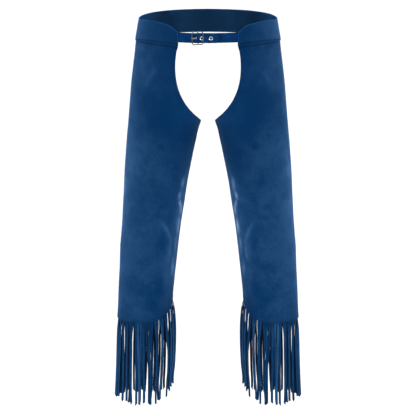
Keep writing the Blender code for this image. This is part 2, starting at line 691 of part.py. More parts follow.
def make_eyelet(name, x, material):
    """A turned ring with a rim in front and a rolled edge behind the strap."""
    mesh = bmesh.new()
    rings = []
    for k in range(ROUND_STEPS):
        turn = 2 * math.pi * k / ROUND_STEPS
        rings.append([mesh.verts.new((p.radius * math.cos(turn), p.radius * math.sin(turn),
                                      p.height)) for p in EYELET_SECTION])
    for k in range(ROUND_STEPS):
        ring, following = rings[k], rings[(k + 1) % ROUND_STEPS]
        for m in range(len(ring)):
            n = (m + 1) % len(ring)
            mesh.faces.new([ring[m], ring[n], following[n], following[m]])
    eyelet = finish(name, mesh, material)
    centre, axis = tip_strap_seat(x)
    eyelet.matrix_world = placed(centre, axis)
    return eyelet


# ------------------------------------------------------------------ fringe
def strand_shapes(count):
    """Seeded differences between the strands: drift, sway, twist and length."""
    dice = random.Random(STRAND_SEED)
    Strand = namedtuple("Strand", "angle layer drift sway phase twist extra slant")
    return [
        Strand(
            angle=180 - 360 * (k + 0.5) / count,
            layer=STRAND_LAYER if k % 2 else -STRAND_LAYER,
            drift=dice.uniform(-0.7, 0.7),
            sway=dice.uniform(0.2, 0.9),
            phase=dice.uniform(0.0, 2 * math.pi),
            twist=dice.uniform(-16.0, 16.0),
            extra=dice.uniform(-6.0, 5.0),
            slant=dice.uniform(-3.5, 3.5),
        )
        for k in range(count)
    ]


def parted(angle, share):
    """How far a strand is pushed round the hem, towards the front of the inseam."""
    total = 0.0
    for parting in PARTINGS:
        beside = (angle - parting.angle + 180) % 360 - 180
        push = math.exp(-(beside / PARTING_REACH) ** 2) * math.copysign(parting.gap / 2, beside)
        total += push * smooth_step(parting.start, parting.start + PARTING_OPENS, share)
    return total


def strand_ring(root, tangent, normal, strand, share):
    """The four corners of a strand's section, a share of the way down it."""
    loose = smooth_step(0.02, 0.35, share)
    wave = strand.sway * math.sin(STRAND_WAVE * share + strand.phase)
    drift = (strand.drift + wave) * loose - parted(strand.angle, share)
    layer = strand.layer * smooth_step(0.0, 0.15, share)
    centre = root + tangent * drift + normal * layer
    facing = math.cos(math.radians(strand.angle))
    belly = math.sqrt(max(math.sin(math.pi * min(share * 1.15, 1.0)), 0.0))
    centre.x += max(facing, 0.0) * FRINGE_FLARE * share ** 2
    centre.x += min(facing, 0.0) * FRINGE_BULGE * belly
    shorter = FRINGE_SHORTER * max(facing, 0.0) ** 2
    centre.z -= (STRAND_LENGTH - shorter + strand.extra) * share
    turn = math.radians(strand.twist * loose)
    across = tangent * math.cos(turn) + normal * math.sin(turn)
    through = normal * math.cos(turn) - tangent * math.sin(turn)
    wide, thick = STRAND_WIDTH / 2 * (1 - STRAND_TAPER * share), FRINGE_WALL / 2
    slant = Vector((0, 0, strand.slant if share == 1.0 else 0.0))
    return [centre - across * wide + through * thick - slant,
            centre + across * wide + through * thick + slant,
            centre + across * wide - through * thick + slant,
            centre - across * wide - through * thick - slant]


def strip_row(lift, out):
    """Points round the hem at a height over it, halfway points lying on the leg's chords."""
    limit = 180 - half_seam_angle(HEM)
    angles = [limit - 2 * limit * k / LEG_COLUMNS for k in range(LEG_COLUMNS + 1)]
    corners = [form_point(angle, hem_height(angle) + lift, out) for angle in angles]
    row = [corners[0]]
    for before, after in zip(corners, corners[1:]):
        row += [(before + after) / 2, after]
    return row


def make_fringe(name, side, material):
    """One strip behind the hem, cut into strands below it."""
    face = INNER_FACE - SEAM
    strip = [[strip_row(lift, out) for lift in (STRIP_HEIGHT, -STRIP_DROP)]
             for out in (face, face - FRINGE_WALL)]
    mesh = bmesh.new()
    outer = [[mesh.verts.new(p) for p in row] for row in mirrored(strip[0], side)]
    inner = [[mesh.verts.new(p) for p in row] for row in mirrored(strip[1], side)]
    for grid, backwards in ((outer, False), (inner, True)):
        for j in range(STRANDS):
            corners = [grid[0][j], grid[0][j + 1], grid[1][j + 1], grid[1][j]]
            mesh.faces.new(corners[::-1] if backwards else corners)
    for j in range(STRANDS):
        mesh.faces.new([outer[0][j + 1], outer[0][j], inner[0][j], inner[0][j + 1]])
    for j in (0, STRANDS):
        mesh.faces.new([outer[0][j], outer[1][j], inner[1][j], inner[0][j]])

    for j, strand in enumerate(strand_shapes(STRANDS)):
        corners = [strip[0][1][j], strip[0][1][j + 1], strip[1][1][j + 1], strip[1][1][j]]
        root = sum(corners, Vector()) / 4
        tangent = corners[1] - corners[0]
        tangent.z = 0
        tangent.normalize()
        normal = Vector((-tangent.y, tangent.x, 0))
        if normal.dot(corners[0] - corners[3]) < 0:
            normal.negate()
        ring = [outer[1][j], outer[1][j + 1], inner[1][j + 1], inner[1][j]]
        for share in STRAND_STEPS:
            points = strand_ring(root, tangent, normal, strand, share)
            following = [mesh.verts.new((side * p.x, p.y, p.z)) for p in points]
            for k in range(4):
                m = (k + 1) % 4
                mesh.faces.new([ring[k], ring[m], following[m], following[k]])
            ring = following
        mesh.faces.new(ring)
    return finish(name, mesh, material)


# ------------------------------------------------------------------ the whole garment
def clear_scene():
    for obj in list(bpy.data.objects):
        bpy.data.objects.remove(obj, do_unlink=True)


def main():
    clear_scene()
    nubuck = (0.008, 0.046, 0.140)
    dark_nubuck = (0.006, 0.026, 0.066)
    steel = (0.62, 0.62, 0.64)
    for label, side in (("R", -1), ("L", 1)):
        make_leg("leg_" + label, side, make_material("leg_" + label, nubuck, 0.85))
        make_yoke("yoke_" + label, side, make_material("yoke_" + label, nubuck, 0.82))
        make_fringe("fringe_" + label, side, make_material("fringe_" + label, nubuck, 0.85))
    make_band("back_band", make_material("back_band", dark_nubuck, 0.85))
    make_tip_strap("strap_tip", make_material("strap_tip", nubuck, 0.75))
    make_buckle_strap("strap_buckle", make_material("strap_buckle", nubuck, 0.75))
    make_buckle_frame("buckle_frame", make_material("buckle_frame", steel, 0.25, 1.0))
    make_prong("buckle_prong", make_material("buckle_prong", steel, 0.25, 1.0))
    for number, x in enumerate(EYELETS_X, start=1):
        name = f"eyelet_{number}"
        make_eyelet(name, x, make_material(name, steel, 0.22, 1.0))


main()
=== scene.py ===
"""Fringed leather chaps: the finished leather, fringe, sewing, hardware and stage.

Metres, +Z up. The front faces -Y and the wearer's right is -X. The origin is the middle of the
waist, at the height of the front strap.

Every leather piece is cut on one body form, in millimetres. A place on the form is an angle
round it and a height: 0 degrees is the outer side of a leg, 90 the front, -90 the back and 180
the inseam. The form is drawn for the wearer's left, and mirrored for the right.
"""

import math
import random
from collections import namedtuple

import bpy
import numpy as np
from bpy.props import FloatProperty, FloatVectorProperty, PointerProperty
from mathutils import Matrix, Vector, kdtree


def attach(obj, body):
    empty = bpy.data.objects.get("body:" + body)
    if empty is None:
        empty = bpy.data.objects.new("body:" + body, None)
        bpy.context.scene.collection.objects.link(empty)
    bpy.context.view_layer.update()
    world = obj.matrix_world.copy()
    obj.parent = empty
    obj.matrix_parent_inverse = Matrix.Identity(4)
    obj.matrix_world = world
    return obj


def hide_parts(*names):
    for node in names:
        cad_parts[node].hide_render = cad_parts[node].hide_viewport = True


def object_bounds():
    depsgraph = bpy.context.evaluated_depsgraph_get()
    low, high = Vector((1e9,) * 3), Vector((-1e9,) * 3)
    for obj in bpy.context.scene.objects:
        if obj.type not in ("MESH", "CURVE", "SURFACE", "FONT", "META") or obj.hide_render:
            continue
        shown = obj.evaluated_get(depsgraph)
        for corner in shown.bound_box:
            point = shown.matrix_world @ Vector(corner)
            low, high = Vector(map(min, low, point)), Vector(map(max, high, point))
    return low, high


bl_info = {
    "name": "Fringed Leather Chaps",
    "version": (1, 0, 0),
    "blender": (4, 5, 0),
    "location": "View3D > Sidebar > Chaps",
    "description": "Cuts, sews and finishes a pair of fringed leather chaps",
    "category": "Object",
}

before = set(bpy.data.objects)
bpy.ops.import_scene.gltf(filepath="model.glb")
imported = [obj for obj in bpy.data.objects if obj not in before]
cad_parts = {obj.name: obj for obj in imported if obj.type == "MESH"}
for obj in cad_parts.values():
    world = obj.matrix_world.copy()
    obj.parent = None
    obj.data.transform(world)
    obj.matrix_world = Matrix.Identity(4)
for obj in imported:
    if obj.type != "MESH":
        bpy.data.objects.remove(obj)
PLAIN_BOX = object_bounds()

MM = 0.001
SIDES = (("R", -1), ("L", 1))


def tabulate(kind, *rows):
    """A table of rows with named columns."""
    return [kind(*row) for row in rows]


# ---------------------------------------------------------------- the cut, in millimetres
LEATHER = 2.0            # wall of a leg panel
YOKE_WALL = 2.2          # wall of the yokes and the back waistband
STRAP_WALL = 1.8         # wall of both straps
FRINGE_WALL = 1.7        # wall of the fringe strip and its strands
SEAM = 0.3               # clear distance between sewn pieces
CROTCH = -235.0          # height of the top of the inseam
HEM = -767.0             # height of the hem at the front, outside and back of a leg
HEM_RISE = 54.0          # how far the hem climbs at the inseam
HEM_RISE_FROM = 100.0    # angle, in degrees, where the hem starts to climb
HEM_RISE_POWER = 1.5     # how steeply it does so
HEM_RISE_FELT = 190.0    # rows of points bend along with the hem this far above it
YOKE_LAP = 6.5           # how far a leg panel runs up behind its yoke
SIDE_BACK_SEAM = 38.2    # angle behind the outer side, in degrees, of the seam to the waistband
SEAM_LIFT = 3.4          # the yokes' stitched groove runs this far above their lower edge
SEAM_CLIMB = 4.6         # and climbs this much more towards the front
SEAM_CLIMBS = (0.0, 66.0)  # between these angles
GROOVE_DEPTH = 0.7
GROOVE_WIDTH = 1.7
GROOVE_SHADE = 0.8       # painted shade in the stitched groove
EDGE_SHADE_WIDTH = 1.2   # width of the painted shade along the yokes' lower edge
UNDER_YOKE = (0.75, 0.6, 1.7)  # painted shadow on the leg under it: depth, how far down, width
AT_HEM = (0.3, 1.0, 2.5)  # painted shade along the hem: depth, how far up, width
WAIST_LIGHTENED = (-42.0, -84.0)  # between these angles the waistband's tone is lifted by painted light, towards the middle of the back
WAIST_LIGHTENED_BY = 0.85        # by this much
STRAP_HEIGHT = 25.0
STRAP_MIDDLE = 1.2       # height of the straps' middle line
STRANDS = 60             # strands of one leg's fringe
FRINGE_FLARE = 6.5       # how far the outermost strands swing out by their ends
FRINGE_BULGE = 6.5       # how far the strands at the inseam belly out halfway down
FRINGE_SHORTER = 11.0    # how much shorter the outermost strands are
STRAND_LENGTH = 224.0
STRAND_TAPER = 0.12      # share of its width that a strand loses by its end
STRAND_LAYER = 2.7       # strands hang by turns this far outside and inside the strip
SIDE_TWIST = 42.0        # how far, in degrees, the outermost strands turn to the front
HANG_SEED = 41           # seed of the differences in how the strands hang
CUT_SEED = 180           # seed of those in how they are cut and napped
STRAND_WAVE = 5.0        # how much of a wave a strand's sway makes along its length, in radians
PARTING_REACH = 7.5      # angle, in degrees, over which a parting's push dies away
PARTING_OPENS = 0.22     # share of the strands' length over which a parting opens
STRAND_LOOSE = (0.02, 0.35)  # a strand comes loose between these shares of its length
STRAND_APART = 0.15      # share of its length by which it has reached its layer
BELLY_DOWN = 1.15        # the belly at the inseam ends before the strand does, by this factor
STRAND_NAP = 0.4         # share of a strand's nap that stands up at least
PAIR_NAP = 0.7           # what the nap of a pair of strands adds at most
PAIR_BRUSHED = 0.3       # and how much painted sheen that pair takes on then
STRAND_ROOT_SHADE = 0.3        # painted shade on a strand at its root, under the hem
STRAND_ROOT_SHADE_END = 0.1    # share of its length where that ends
STRAND_ROOT = 1.0        # how far a strand reaches up into the strip
STRIP_HEIGHT = 13.0      # fringe strip that is sewn behind the hem
STRIP_DROP = 1.5         # how far the strip shows below the hem
STRIP_STATE = (0.4, 0.0, 0.35)  # its nap, its painted sheen, and its painted shade under the hem
INNER_FACE = 0.2         # distance of the leg panels' inner face from the form
YOKE_FACE = INNER_FACE + LEATHER + SEAM

# The body form's inner face. outer: half-width over both legs. core: distance of the middle of
# a leg's section from the centre plane, 0 where both sides share one section. depth: half-depth.
# lean: shift of the section towards the back.
Section = namedtuple("Section", "height outer core depth lean")
FORM = tabulate(
    Section,
    (46, 174.8, 0, 124, 0), (34, 177.2, 0, 125, 0), (5, 182.2, 0, 127, 0), (-22, 186.7, 0, 128, 0),
    (-45, 189.2, 4, 127, 0), (-75, 192.9, 13, 124, 0), (-127, 199, 43, 116, 1),
    (-180, 204.2, 82, 107, 2), (-235, 208.3, 114.2, 98, 2), (-290, 212.8, 123.9, 95, 2),
    (-340, 215.8, 130.7, 93, 1), (-395, 219, 137.7, 90, 0), (-450, 222.6, 143.6, 87, 1),
    (-500, 225.4, 149, 84, 3), (-555, 229.4, 154.6, 81, 6), (-610, 232.5, 159.2, 78, 8),
    (-665, 234.6, 163.2, 75, 8), (-715, 237.3, 166.4, 73, 8), (-785, 241, 167, 73, 8),
)

# The two edges of the cut-out over crotch and seat. reach: distance from the centre plane.
EdgePoint = namedtuple("EdgePoint", "height reach")
FRONT_EDGE = tabulate(
    EdgePoint,
    (14, 78.6), (-12, 76.6), (-22, 77.9), (-30, 80.8), (-46, 83.4), (-62, 84.9), (-77, 85.3),
    (-93, 84.7), (-109, 82.9), (-124, 79.9), (-140, 75.1), (-156, 68.3), (-172, 59.7),
    (-189, 47.9), (-203, 36.5), (-219, 23.5), (-229, 19.8), (-235, 18.3),
)
BACK_EDGE = tabulate(
    EdgePoint,
    (14, 148.5), (-14, 148.5), (-45, 147), (-75, 143.5), (-110, 137), (-140, 126), (-170, 109),
    (-190, 94), (-207, 78), (-219, 63), (-229, 46), (-233, 34), (-235, 18.3),
)

# Upper and lower edge of the yokes and the back waistband, by angle.
WaistPoint = namedtuple("WaistPoint", "angle top bottom")
WAIST_LINE = tabulate(
    WaistPoint,
    (-90, 44.4, -17.2), (-60, 43.8, -17.5), (-40, 42.2, -18.5), (-24, 40, -19.5), (-8, 36.8, -21),
    (6, 35.2, -20.5), (22, 37.6, -18.8), (37, 38.4, -18.8), (45, 36.6, -19.4), (51, 34.2, -20.4),
    (56.5, 31, -21.2), (60, 26.4, -22), (63, 19, -22.8), (66, 12.7, -24),
)

# The soft folds of a leg panel, each a ridge (or, where rise is below 0, a hollow) between two
# places on the form. bow: how far its line bows sideways.
Mark = namedtuple("Mark", "angle_a height_a angle_b height_b bow width rise")
FOLDS = tabulate(
    Mark,
    # front
    (50, -66, 38, -140, 0, 15, 1.2), (48.5, -82, 39.5, -137, 0, 6, 1.5),
    (57, -96, 47, -168, 0, 11, -1.1), (36, -150, 31, -215, 0, 15, -1.5),
    (22, -222, 119, -335, 8, 24, 1.5), (34, -195, 112, -292, 8, 20, -0.9),
    (85, -281, 97, -299, 0, 5, -1.1), (84, -345, 91, -410, 3, 9, -1.4),
    (101, -398, 110, -468, 0, 12, -1.5), (62, -395, 74, -470, 4, 18, 0.9),
    (30, -420, 62, -560, 0, 24, 1.6), (50, -560, 58, -670, 0, 20, 0.9),
    (78, -560, 92, -640, -4, 16, -0.8), (100, -610, 112, -660, 0, 9, 0.8),
    # inner side
    (106, -480, 138, -556, 0, 6, 1.3), (122, -452, 144, -520, 0, 14, -2),
    (114, -520, 122, -585, 0, 11, -1.8), (134, -538, 130, -605, 0, 12, 2.2),
    (130, -605, 140, -700, 0, 13, 1.6), (146, -352, 150, -400, 0, 8, 1),
    (152, -590, 158, -690, 0, 14, 1.4), (119, -640, 123, -700, 0, 10, -1.1),
    (150, -420, 158, -500, 0, 12, -1), (160, -275, 152, -335, 0, 12, -0.9),
    # outer side
    (4, -150, -8, -260, 4, 18, -1), (10, -300, -6, -420, -4, 18, 1.1),
    (-14, -470, 6, -560, 4, 14, -1.1), (14, -500, -10, -610, 0, 15, 1),
    (8, -640, -4, -720, 0, 16, 0.8),
    # back
    (-30, -70, -52, -150, 0, 18, 2.4), (-44, -96, -30, -172, 0, 11, -1.1),
    (-24, -226, -118, -342, -8, 24, 1.5), (-38, -200, -110, -296, -8, 20, -0.9),
    (-82, -330, -96, -398, 3, 10, -1.3), (-60, -380, -72, -455, 0, 16, 0.9),
    (-92, -458, -142, -520, 3, 8, 2.4), (-100, -470, -150, -540, 0, 20, 1.6),
    (-60, -500, -120, -585, 0, 20, -2.4), (-96, -520, -134, -560, 0, 7, 1.3),
    (-50, -560, -56, -690, 0, 18, 1.1), (-128, -600, -140, -700, 0, 13, 1.7),
    (-100, -640, -108, -705, 0, 12, -1), (-150, -300, -146, -400, 0, 12, 1),
)

# Painted light (rise above 0) and painted shade (below 0) in the nap's tone, mostly along the
# folds: lighter on their ridges and down the inner side of the lower leg, darker in their hollows.
LIGHT_AND_SHADE_STROKES = tabulate(
    Mark,
    # front
    (48.5, -78, 39.5, -138, 0, 8, 0.5), (36, -148, 31, -208, 0, 18, -0.3),
    (58, -235, 74, -330, 0, 24, 0.25), (86, -283, 96, -297, 0, 6, -0.4),
    (84, -348, 90, -408, 3, 10, -0.45), (102, -400, 109, -462, 0, 13, -0.35),
    (52, -505, 58, -632, 0, 20, 0.3), (119, -645, 122, -698, 0, 11, -0.35),
    (60, -650, 84, -690, 0, 16, -0.2), (92, -700, 118, -730, 0, 12, -0.3),
    # inner side
    (107, -484, 137, -554, -2, 5, 0.3), (126, -456, 140, -520, 0, 14, -0.4),
    (115, -526, 121, -578, 0, 12, -0.4), (134, -542, 131, -600, 0, 9, 0.9),
    (131, -600, 140, -695, 0, 10, 0.7), (146, -364, 150, -398, 0, 9, 0.6),
    (163, -350, 166, -700, 0, 26, 0.9), (143, -400, 150, -470, 0, 8, 0.9),
    # outer side and back
    (6, -180, -10, -300, 0, 24, -0.2), (8, -420, -8, -560, 0, 22, 0.2),
    (-34, -78, -50, -146, 0, 9, 0.4), (-44, -96, -32, -168, 0, 14, -0.3),
    (-60, -240, -80, -330, 0, 26, 0.25), (-82, -335, -95, -396, 0, 11, -0.4),
    (-92, -460, -140, -520, 3, 7, 0.7), (-64, -505, -116, -580, 0, 18, -0.4),
    (-50, -570, -56, -690, 0, 20, 0.3), (-128, -604, -140, -696, 0, 11, 0.6),
)

FOLDS_START = (-30.0, -60.0)  # the folds swell from nothing between these heights
FOLDS_END = (HEM + 5.0, HEM + 75.0)  # and have died away between these
NAP_AT_HIPS = 0.05       # share of the nap that stands up at the hips
OUTER_SIDE_LIGHT = 0.71       # painted light added there on the outer side
LOWER_LEG_LIGHT = 0.72         # and painted light added further down
NAP_LINE = -205.0        # height where it changes at the outer side
NAP_DROP = 105.0         # how much lower it changes at the inseam
NAP_DROPS = (45.0, 122.0)  # the line drops between these angles
NAP_CHANGE = (-55.0, 85.0)  # it changes from this far above to this far below
NAP_LOW_OUTSIDE = 0.9    # share of OUTER_SIDE_LIGHT that is lost below the line
NAP_LOW_INSIDE = 0.4     # share of LOWER_LEG_LIGHT that is lost on the inner side
NAP_AT_HEM = 0.15        # the tone darkens this much more by the hem
NAP_HEM_ZONE = (HEM + 130.0, HEM + 20.0)  # and does so between these heights
NAP_LIMIT = 1.5
OUTER_SIDE = (54.0, 10.0)  # angles where the outer side begins and is reached
INNER_SIDE = (84.0, 118.0)  # the same for the inner side
SHEEN_INSIDE = (80.0, 100.0)  # and where the painted sheen turns to that of the inner side

# Painted sheen right at a leg's outer and inner side, from 0 to 1.
SheenPoint = namedtuple("SheenPoint", "height outer inner")
SHEEN_AT_SIDES = tabulate(
    SheenPoint,
    (45, 0.2, 0), (-60, 0.18, 0), (-200, 0.16, 0), (-300, 0.29, 0.02), (-370, 0.42, 0.12),
    (-440, 0.42, 0.34), (-500, 0.36, 0.36), (-580, 0.26, 0.32), (-650, 0.21, 0.28),
    (-700, 0.16, 0.12), (-770, 0.1, 0),
)
# Painted highlights on the nap, mostly down the inner side of the lower leg.
SHEEN_MARKS = tabulate(
    Mark,
    # inner side, front
    (146, -376, 151, -415, 0, 9, 0.34), (145, -415, 144, -438, 0, 6.5, 0.55),
    (146, -440, 156, -458, 0, 5.5, 0.95), (156, -455, 163, -482, 0, 9, 0.8),
    (157, -488, 158, -530, 0, 9, 0.55), (153, -544, 156, -588, 0, 7, 0.32),
    (150, -598, 151, -650, 0, 7, 0.28), (112, -494, 138, -554, -2, 4.5, 0.14),
    (137, -550, 135, -604, 0, 6, 0.18), (48.5, -82, 40, -134, 0, 5, 0.05),
    # inner side, back
    (-144, -392, -152, -440, 0, 9, 0.34), (-140, -448, -154, -474, 0, 6, 0.7),
    (-156, -476, -160, -520, 0, 9, 0.55), (-118, -470, -142, -516, 3, 5, 0.16),
    (-150, -560, -148, -640, 0, 8, 0.32), (-36, -84, -50, -140, 0, 6, 0.05),
)

# Where the strands of the fringe part. angle: place round the hem. gap: how far the strands on
# either side are pushed apart. start: share of their length where they begin to part.
Parting = namedtuple("Parting", "angle gap start")
PARTINGS = tabulate(
    Parting,
    (62, 3.3, 0.4), (65, 6.7, 0), (71.5, 2.1, 0.6), (84.5, 2.8, 0.6), (92.5, 6.5, 0.35),
    (108.5, 2.7, 0), (111, 5.5, 0.05), (118.5, 7.3, 0), (133.5, 9, 0.25), (140, 7, 0.1),
    (160, 8.9, 0.6), (-51.5, 6.2, 0.15), (-65, 4.2, 0.15), (-78, 3.6, 0.25), (-94.5, 7.5, 0.4),
    (-105, 4.9, 0.15), (-112, 9, 0), (-118, 6.6, 0.15), (-128.5, 5.1, 0.2), (-136, 8.5, 0),
    (-146.5, 7.6, 0.2),
)

# Face of a strap that looks at the body: distance out from the form, by distance x from the
# middle. half: half the strap's height there.
StrapPoint = namedtuple("StrapPoint", "x out half")
TIP_STRAP = tabulate(
    StrapPoint,
    (-98, 0.2, 12.5), (-88, 0.2, 12.5), (-75.5, 0.2, 12.5), (-68, 1.6, 12.5), (-58, 3.8, 12.5),
    (-47, 5.6, 12.5), (-39.8, 6.45, 12.5), (-33, 6.85, 12.5), (-28.5, 7.2, 12.5),
    (-24.5, 7.1, 12.5), (-21.8, 6.6, 12.5), (-9.6, 5.3, 12.5), (-2, 5.3, 12.5), (13, 5.3, 12.5),
    (20.5, 4.6, 12.5), (22.4, 4.4, 12.2), (25.2, 4.1, 9.2), (28.2, 3.9, 6), (30.8, 3.75, 3.5),
    (32.4, 3.7, 1.9), (33, 3.7, 0.8),
)
BUCKLE_STRAP_FRONT = tabulate(
    StrapPoint,
    (98, 0.2, 12.5), (88, 0.2, 12.5), (75.5, 0.2, 12.5), (66, 0.4, 12.5), (48, 0.8, 12.5),
    (32, 1.35, 12.5), (18, 2.1, 12.5), (8, 2.35, 12.5), (-4, 2.35, 12.5), (-12.6, 2.4, 12.5),
    (-16.5, 2.75, 12.5), (-20.8, 3.7, 12.5),
)
BUCKLE_STRAP_RETURN = tabulate(
    StrapPoint,
    (-20.8, 0.18, 12.5), (-12, 0.2, 12.5), (-2, 0.22, 12.5), (8, 0.25, 12.5),
)

TIP_START = -7           # the row of the long strap where its tip starts
TIP_SHADE = 0.75         # painted shadow of the tip on the lower strap: how dark
TIP_SHADE_WIDTH = 2.6    # and how far from the tip's outline
STRAP_ROWS = (3.5, 8.0)  # the stitches that hold a strap lie this far from the yoke's edge
STRAP_HOLD = 9.0         # and reach this far above and below the strap's middle
HEM_ROWS = (4.0, 9.0)  # the stitches of the hem lie this far above it
INSEAM_ROW = 3.0         # those of the inseam this far from it
GROOVE_FRONT = -20.0     # height where the groove's stitches meet the yoke's front edge
GROOVE_END = 1.0         # they end this far, in degrees, before the yoke does
HEM_ROW_END = 178.0      # angle where the rows of the hem end
INSEAM_ROW_ENDS = (3.0, 2.0)  # those of the inseam end this far below the crotch, above the hem
THREAD_OUT = 0.15        # the thread's middle lies this far out of the leather
STITCH_STRAIGHT = 0.5    # share of a stitch that lies straight
# Its ends reach so far on and down, as shares of its length and the thread's thickness.
STITCH_END = (0.22, 0.55)
STITCH_TAPER = (1.0, 0.7, 0.6)  # and narrow to this

BUCKLE_X = -25.7         # middle of the buckle
BUCKLE_WIRE = 1.25       # radius of its wire
BUCKLE_TILT = 3.0        # degrees, top towards the wearer's right
MIDDLE_BAR_OUT = 3.5     # distance of the middle bar from the form
SLOT_HALF_HEIGHT = 2.3   # slot in the folded strap, for the prong
SLOT_END = -20.8         # the slot runs round the fold from here back to here
LEAN_START = 6.0         # the folded strap starts to lean with the buckle here
PRONG_HOLE = (-28.7, 2.4)  # distance x from the middle, and radius
EYELET_SEATS = ((-15.7, 3.5), (7.5, 3.5))  # the same for the eyelets' seats

# ---------------------------------------------------------------- fineness
LEG_COLUMNS = 176        # round a leg
EDGE_COLUMNS = 64        # of them, how many end on each edge of the cut-out
EDGE_POINTS = 961        # of the line along which those are spaced
INSEAM_LEAD = 26.0       # the columns start to lean this far below the crotch
LEG_UPPER_ROWS = 62
LEG_LOWER_ROWS = 120
YOKE_COLUMNS = 96
BAND_COLUMNS = 110
WAIST_ROWS = 30
STRAP_STEP = 1.6         # length of a strap's cells
STRAP_FOLD_STEPS = 20    # round its fold
STRAP_LINES = (0.2, 0.45, 0.7, 0.92, 1.0)  # its rows, as shares of its half-height
FOLDED_STRAP_LINES = (0.34, 0.5, 0.66, 0.8, 0.92, 1.0)
STRIP_ROWS = 5           # of the fringe strip
STRIP_CELLS = 3          # of it over each strand
STRIP_CELL = 2.6         # length of a cell in the flat cut
STRAND_SPACE = 8.0       # distance from one strand to the next there
STRAND_FROM_EDGE = 4.0   # strands count as this far from an edge, so they aren't rubbed there
# The corners of a strand's section: side, distance in from it, share of half the thickness,
# and the material of the face that starts at each.
STRAND_SECTION = ((-1, 0.0, 0.8, 2), (-1, 0.5, 1.0, 0), (1, 0.5, 1.0, 2), (1, 0.0, 0.8, 2),
                  (1, 0.0, -0.8, 2), (1, 0.5, -1.0, 1), (-1, 0.5, -1.0, 2),
                  (-1, 0.0, -0.8, 2))
PUNCH_SIDES, PUNCH_LENGTH = 48, 10.0
STRAND_CELLS = 14        # along a strand
FRINGE_FLESH_SHADE = 0.3       # tone of the strands' flesh side, next to that of the panels: painted shade of the fringe's inside
YOKE_EDGE_HIGHLIGHT = 11.0         # tone of the waist's cut edges, next to that of the others: a paler raw edge, and a painted highlight
# Points of the lines that the stitches follow.
GROOVE_POINTS, HEM_POINTS, INSEAM_POINTS, HOLD_POINTS = 160, 300, 200, 30
RIM_ANGLE = 50.0         # edges sharper than this, in degrees, are shaded as edges
RIM_BULGE = 0.3          # how far a cut edge rounds out between its two faces


# ---------------------------------------------------------------- stage, in metres
FLOOR_SIZE = 110.0
BACKDROP_RADIUS, BACKDROP_HEIGHT = 50.0, 40.0
OVERHEAD_SPREAD = 24.0   # degrees
# A light on either side: name, place on the left, aim, size and the setting of its power.
SOFT_LIGHTS = (
    ("low_light", (1.1, -1.7, -1.1), (0.0, 0.0, -0.8), (0.9, 0.4), "front_power"),
    ("light", (2.6, 0.4, 0.2), (0.0, 0.0, -0.45), (1.4, 2.6), "side_power"),
)


# ---------------------------------------------------------------- smooth curves
class Curve:
    """A smooth curve through the points (x, y), with no overshoot between them."""

    def __init__(self, points):
        ordered = np.array(sorted(points), float)
        self.x, self.y = ordered[:, 0], ordered[:, 1]
        rise = np.diff(self.y) / np.diff(self.x)
        before, after = rise[:-1], rise[1:]
        same_way = before * after > 0
        total = np.where(same_way, before + after, 1.0)
        middle = np.where(same_way, 2 * before * after / total, 0.0)
        self.slope = np.concatenate(([rise[0]], middle, [rise[-1]]))

    def __call__(self, x):
        x = np.clip(x, self.x[0], self.x[-1])
        i = np.clip(np.searchsorted(self.x, x) - 1, 0, len(self.x) - 2)
        span = self.x[i + 1] - self.x[i]
        t = (x - self.x[i]) / span
        start = (1 + 2 * t) * (1 - t) ** 2 * self.y[i] + t * (1 - t) ** 2 * span * self.slope[i]
        end = t * t * (3 - 2 * t) * self.y[i + 1] - t * t * (1 - t) * span * self.slope[i + 1]
        return start + end


def column(table, key, value):
    """The curve of one column of a table over another."""
    return Curve([(getattr(row, key), getattr(row, value)) for row in table])


def smooth_step(low, high, value):
    """Goes smoothly from 0 at low to 1 at high."""
    t = np.clip((np.asarray(value, float) - low) / (high - low), 0.0, 1.0)
    return t * t * (3 - 2 * t)


def unit(vectors):
    """The vectors at length 1."""
    return vectors / np.linalg.norm(vectors, axis=-1, keepdims=True)


def walked(line):
    """The distance gone at each point of a line."""
    steps = np.linalg.norm(np.diff(line, axis=0), axis=1)
    return np.concatenate(([0.0], np.cumsum(steps)))


OUTER = column(FORM, "height", "outer")
CORE = column(FORM, "height", "core")
DEPTH = column(FORM, "height", "depth")
LEAN = column(FORM, "height", "lean")
FRONT_REACH = column(FRONT_EDGE, "height", "reach")
BACK_REACH = column(BACK_EDGE, "height", "reach")
WAIST_TOP = column(WAIST_LINE, "angle", "top")
WAIST_BOTTOM = column(WAIST_LINE, "angle", "bottom")
SHEEN_OUTER = column(SHEEN_AT_SIDES, "height", "outer")
SHEEN_INNER = column(SHEEN_AT_SIDES, "height", "inner")


# ---------------------------------------------------------------- the body form
def bare(angle, height):
    """Points on the form without folds, on the wearer's left."""
    turn = np.radians(angle)
    core = CORE(height)
    x = core + (OUTER(height) - core) * np.cos(turn)
    y = LEAN(height) - DEPTH(height) * np.sin(turn)
    return np.stack(np.broadcast_arrays(x, y, height), axis=-1)


def outward(angle, height):
    """The form's outward directions."""
    along = bare(angle + 1, height) - bare(angle - 1, height)
    up = bare(angle, height + 2) - bare(angle, height - 2)
    return unit(np.cross(up, along))


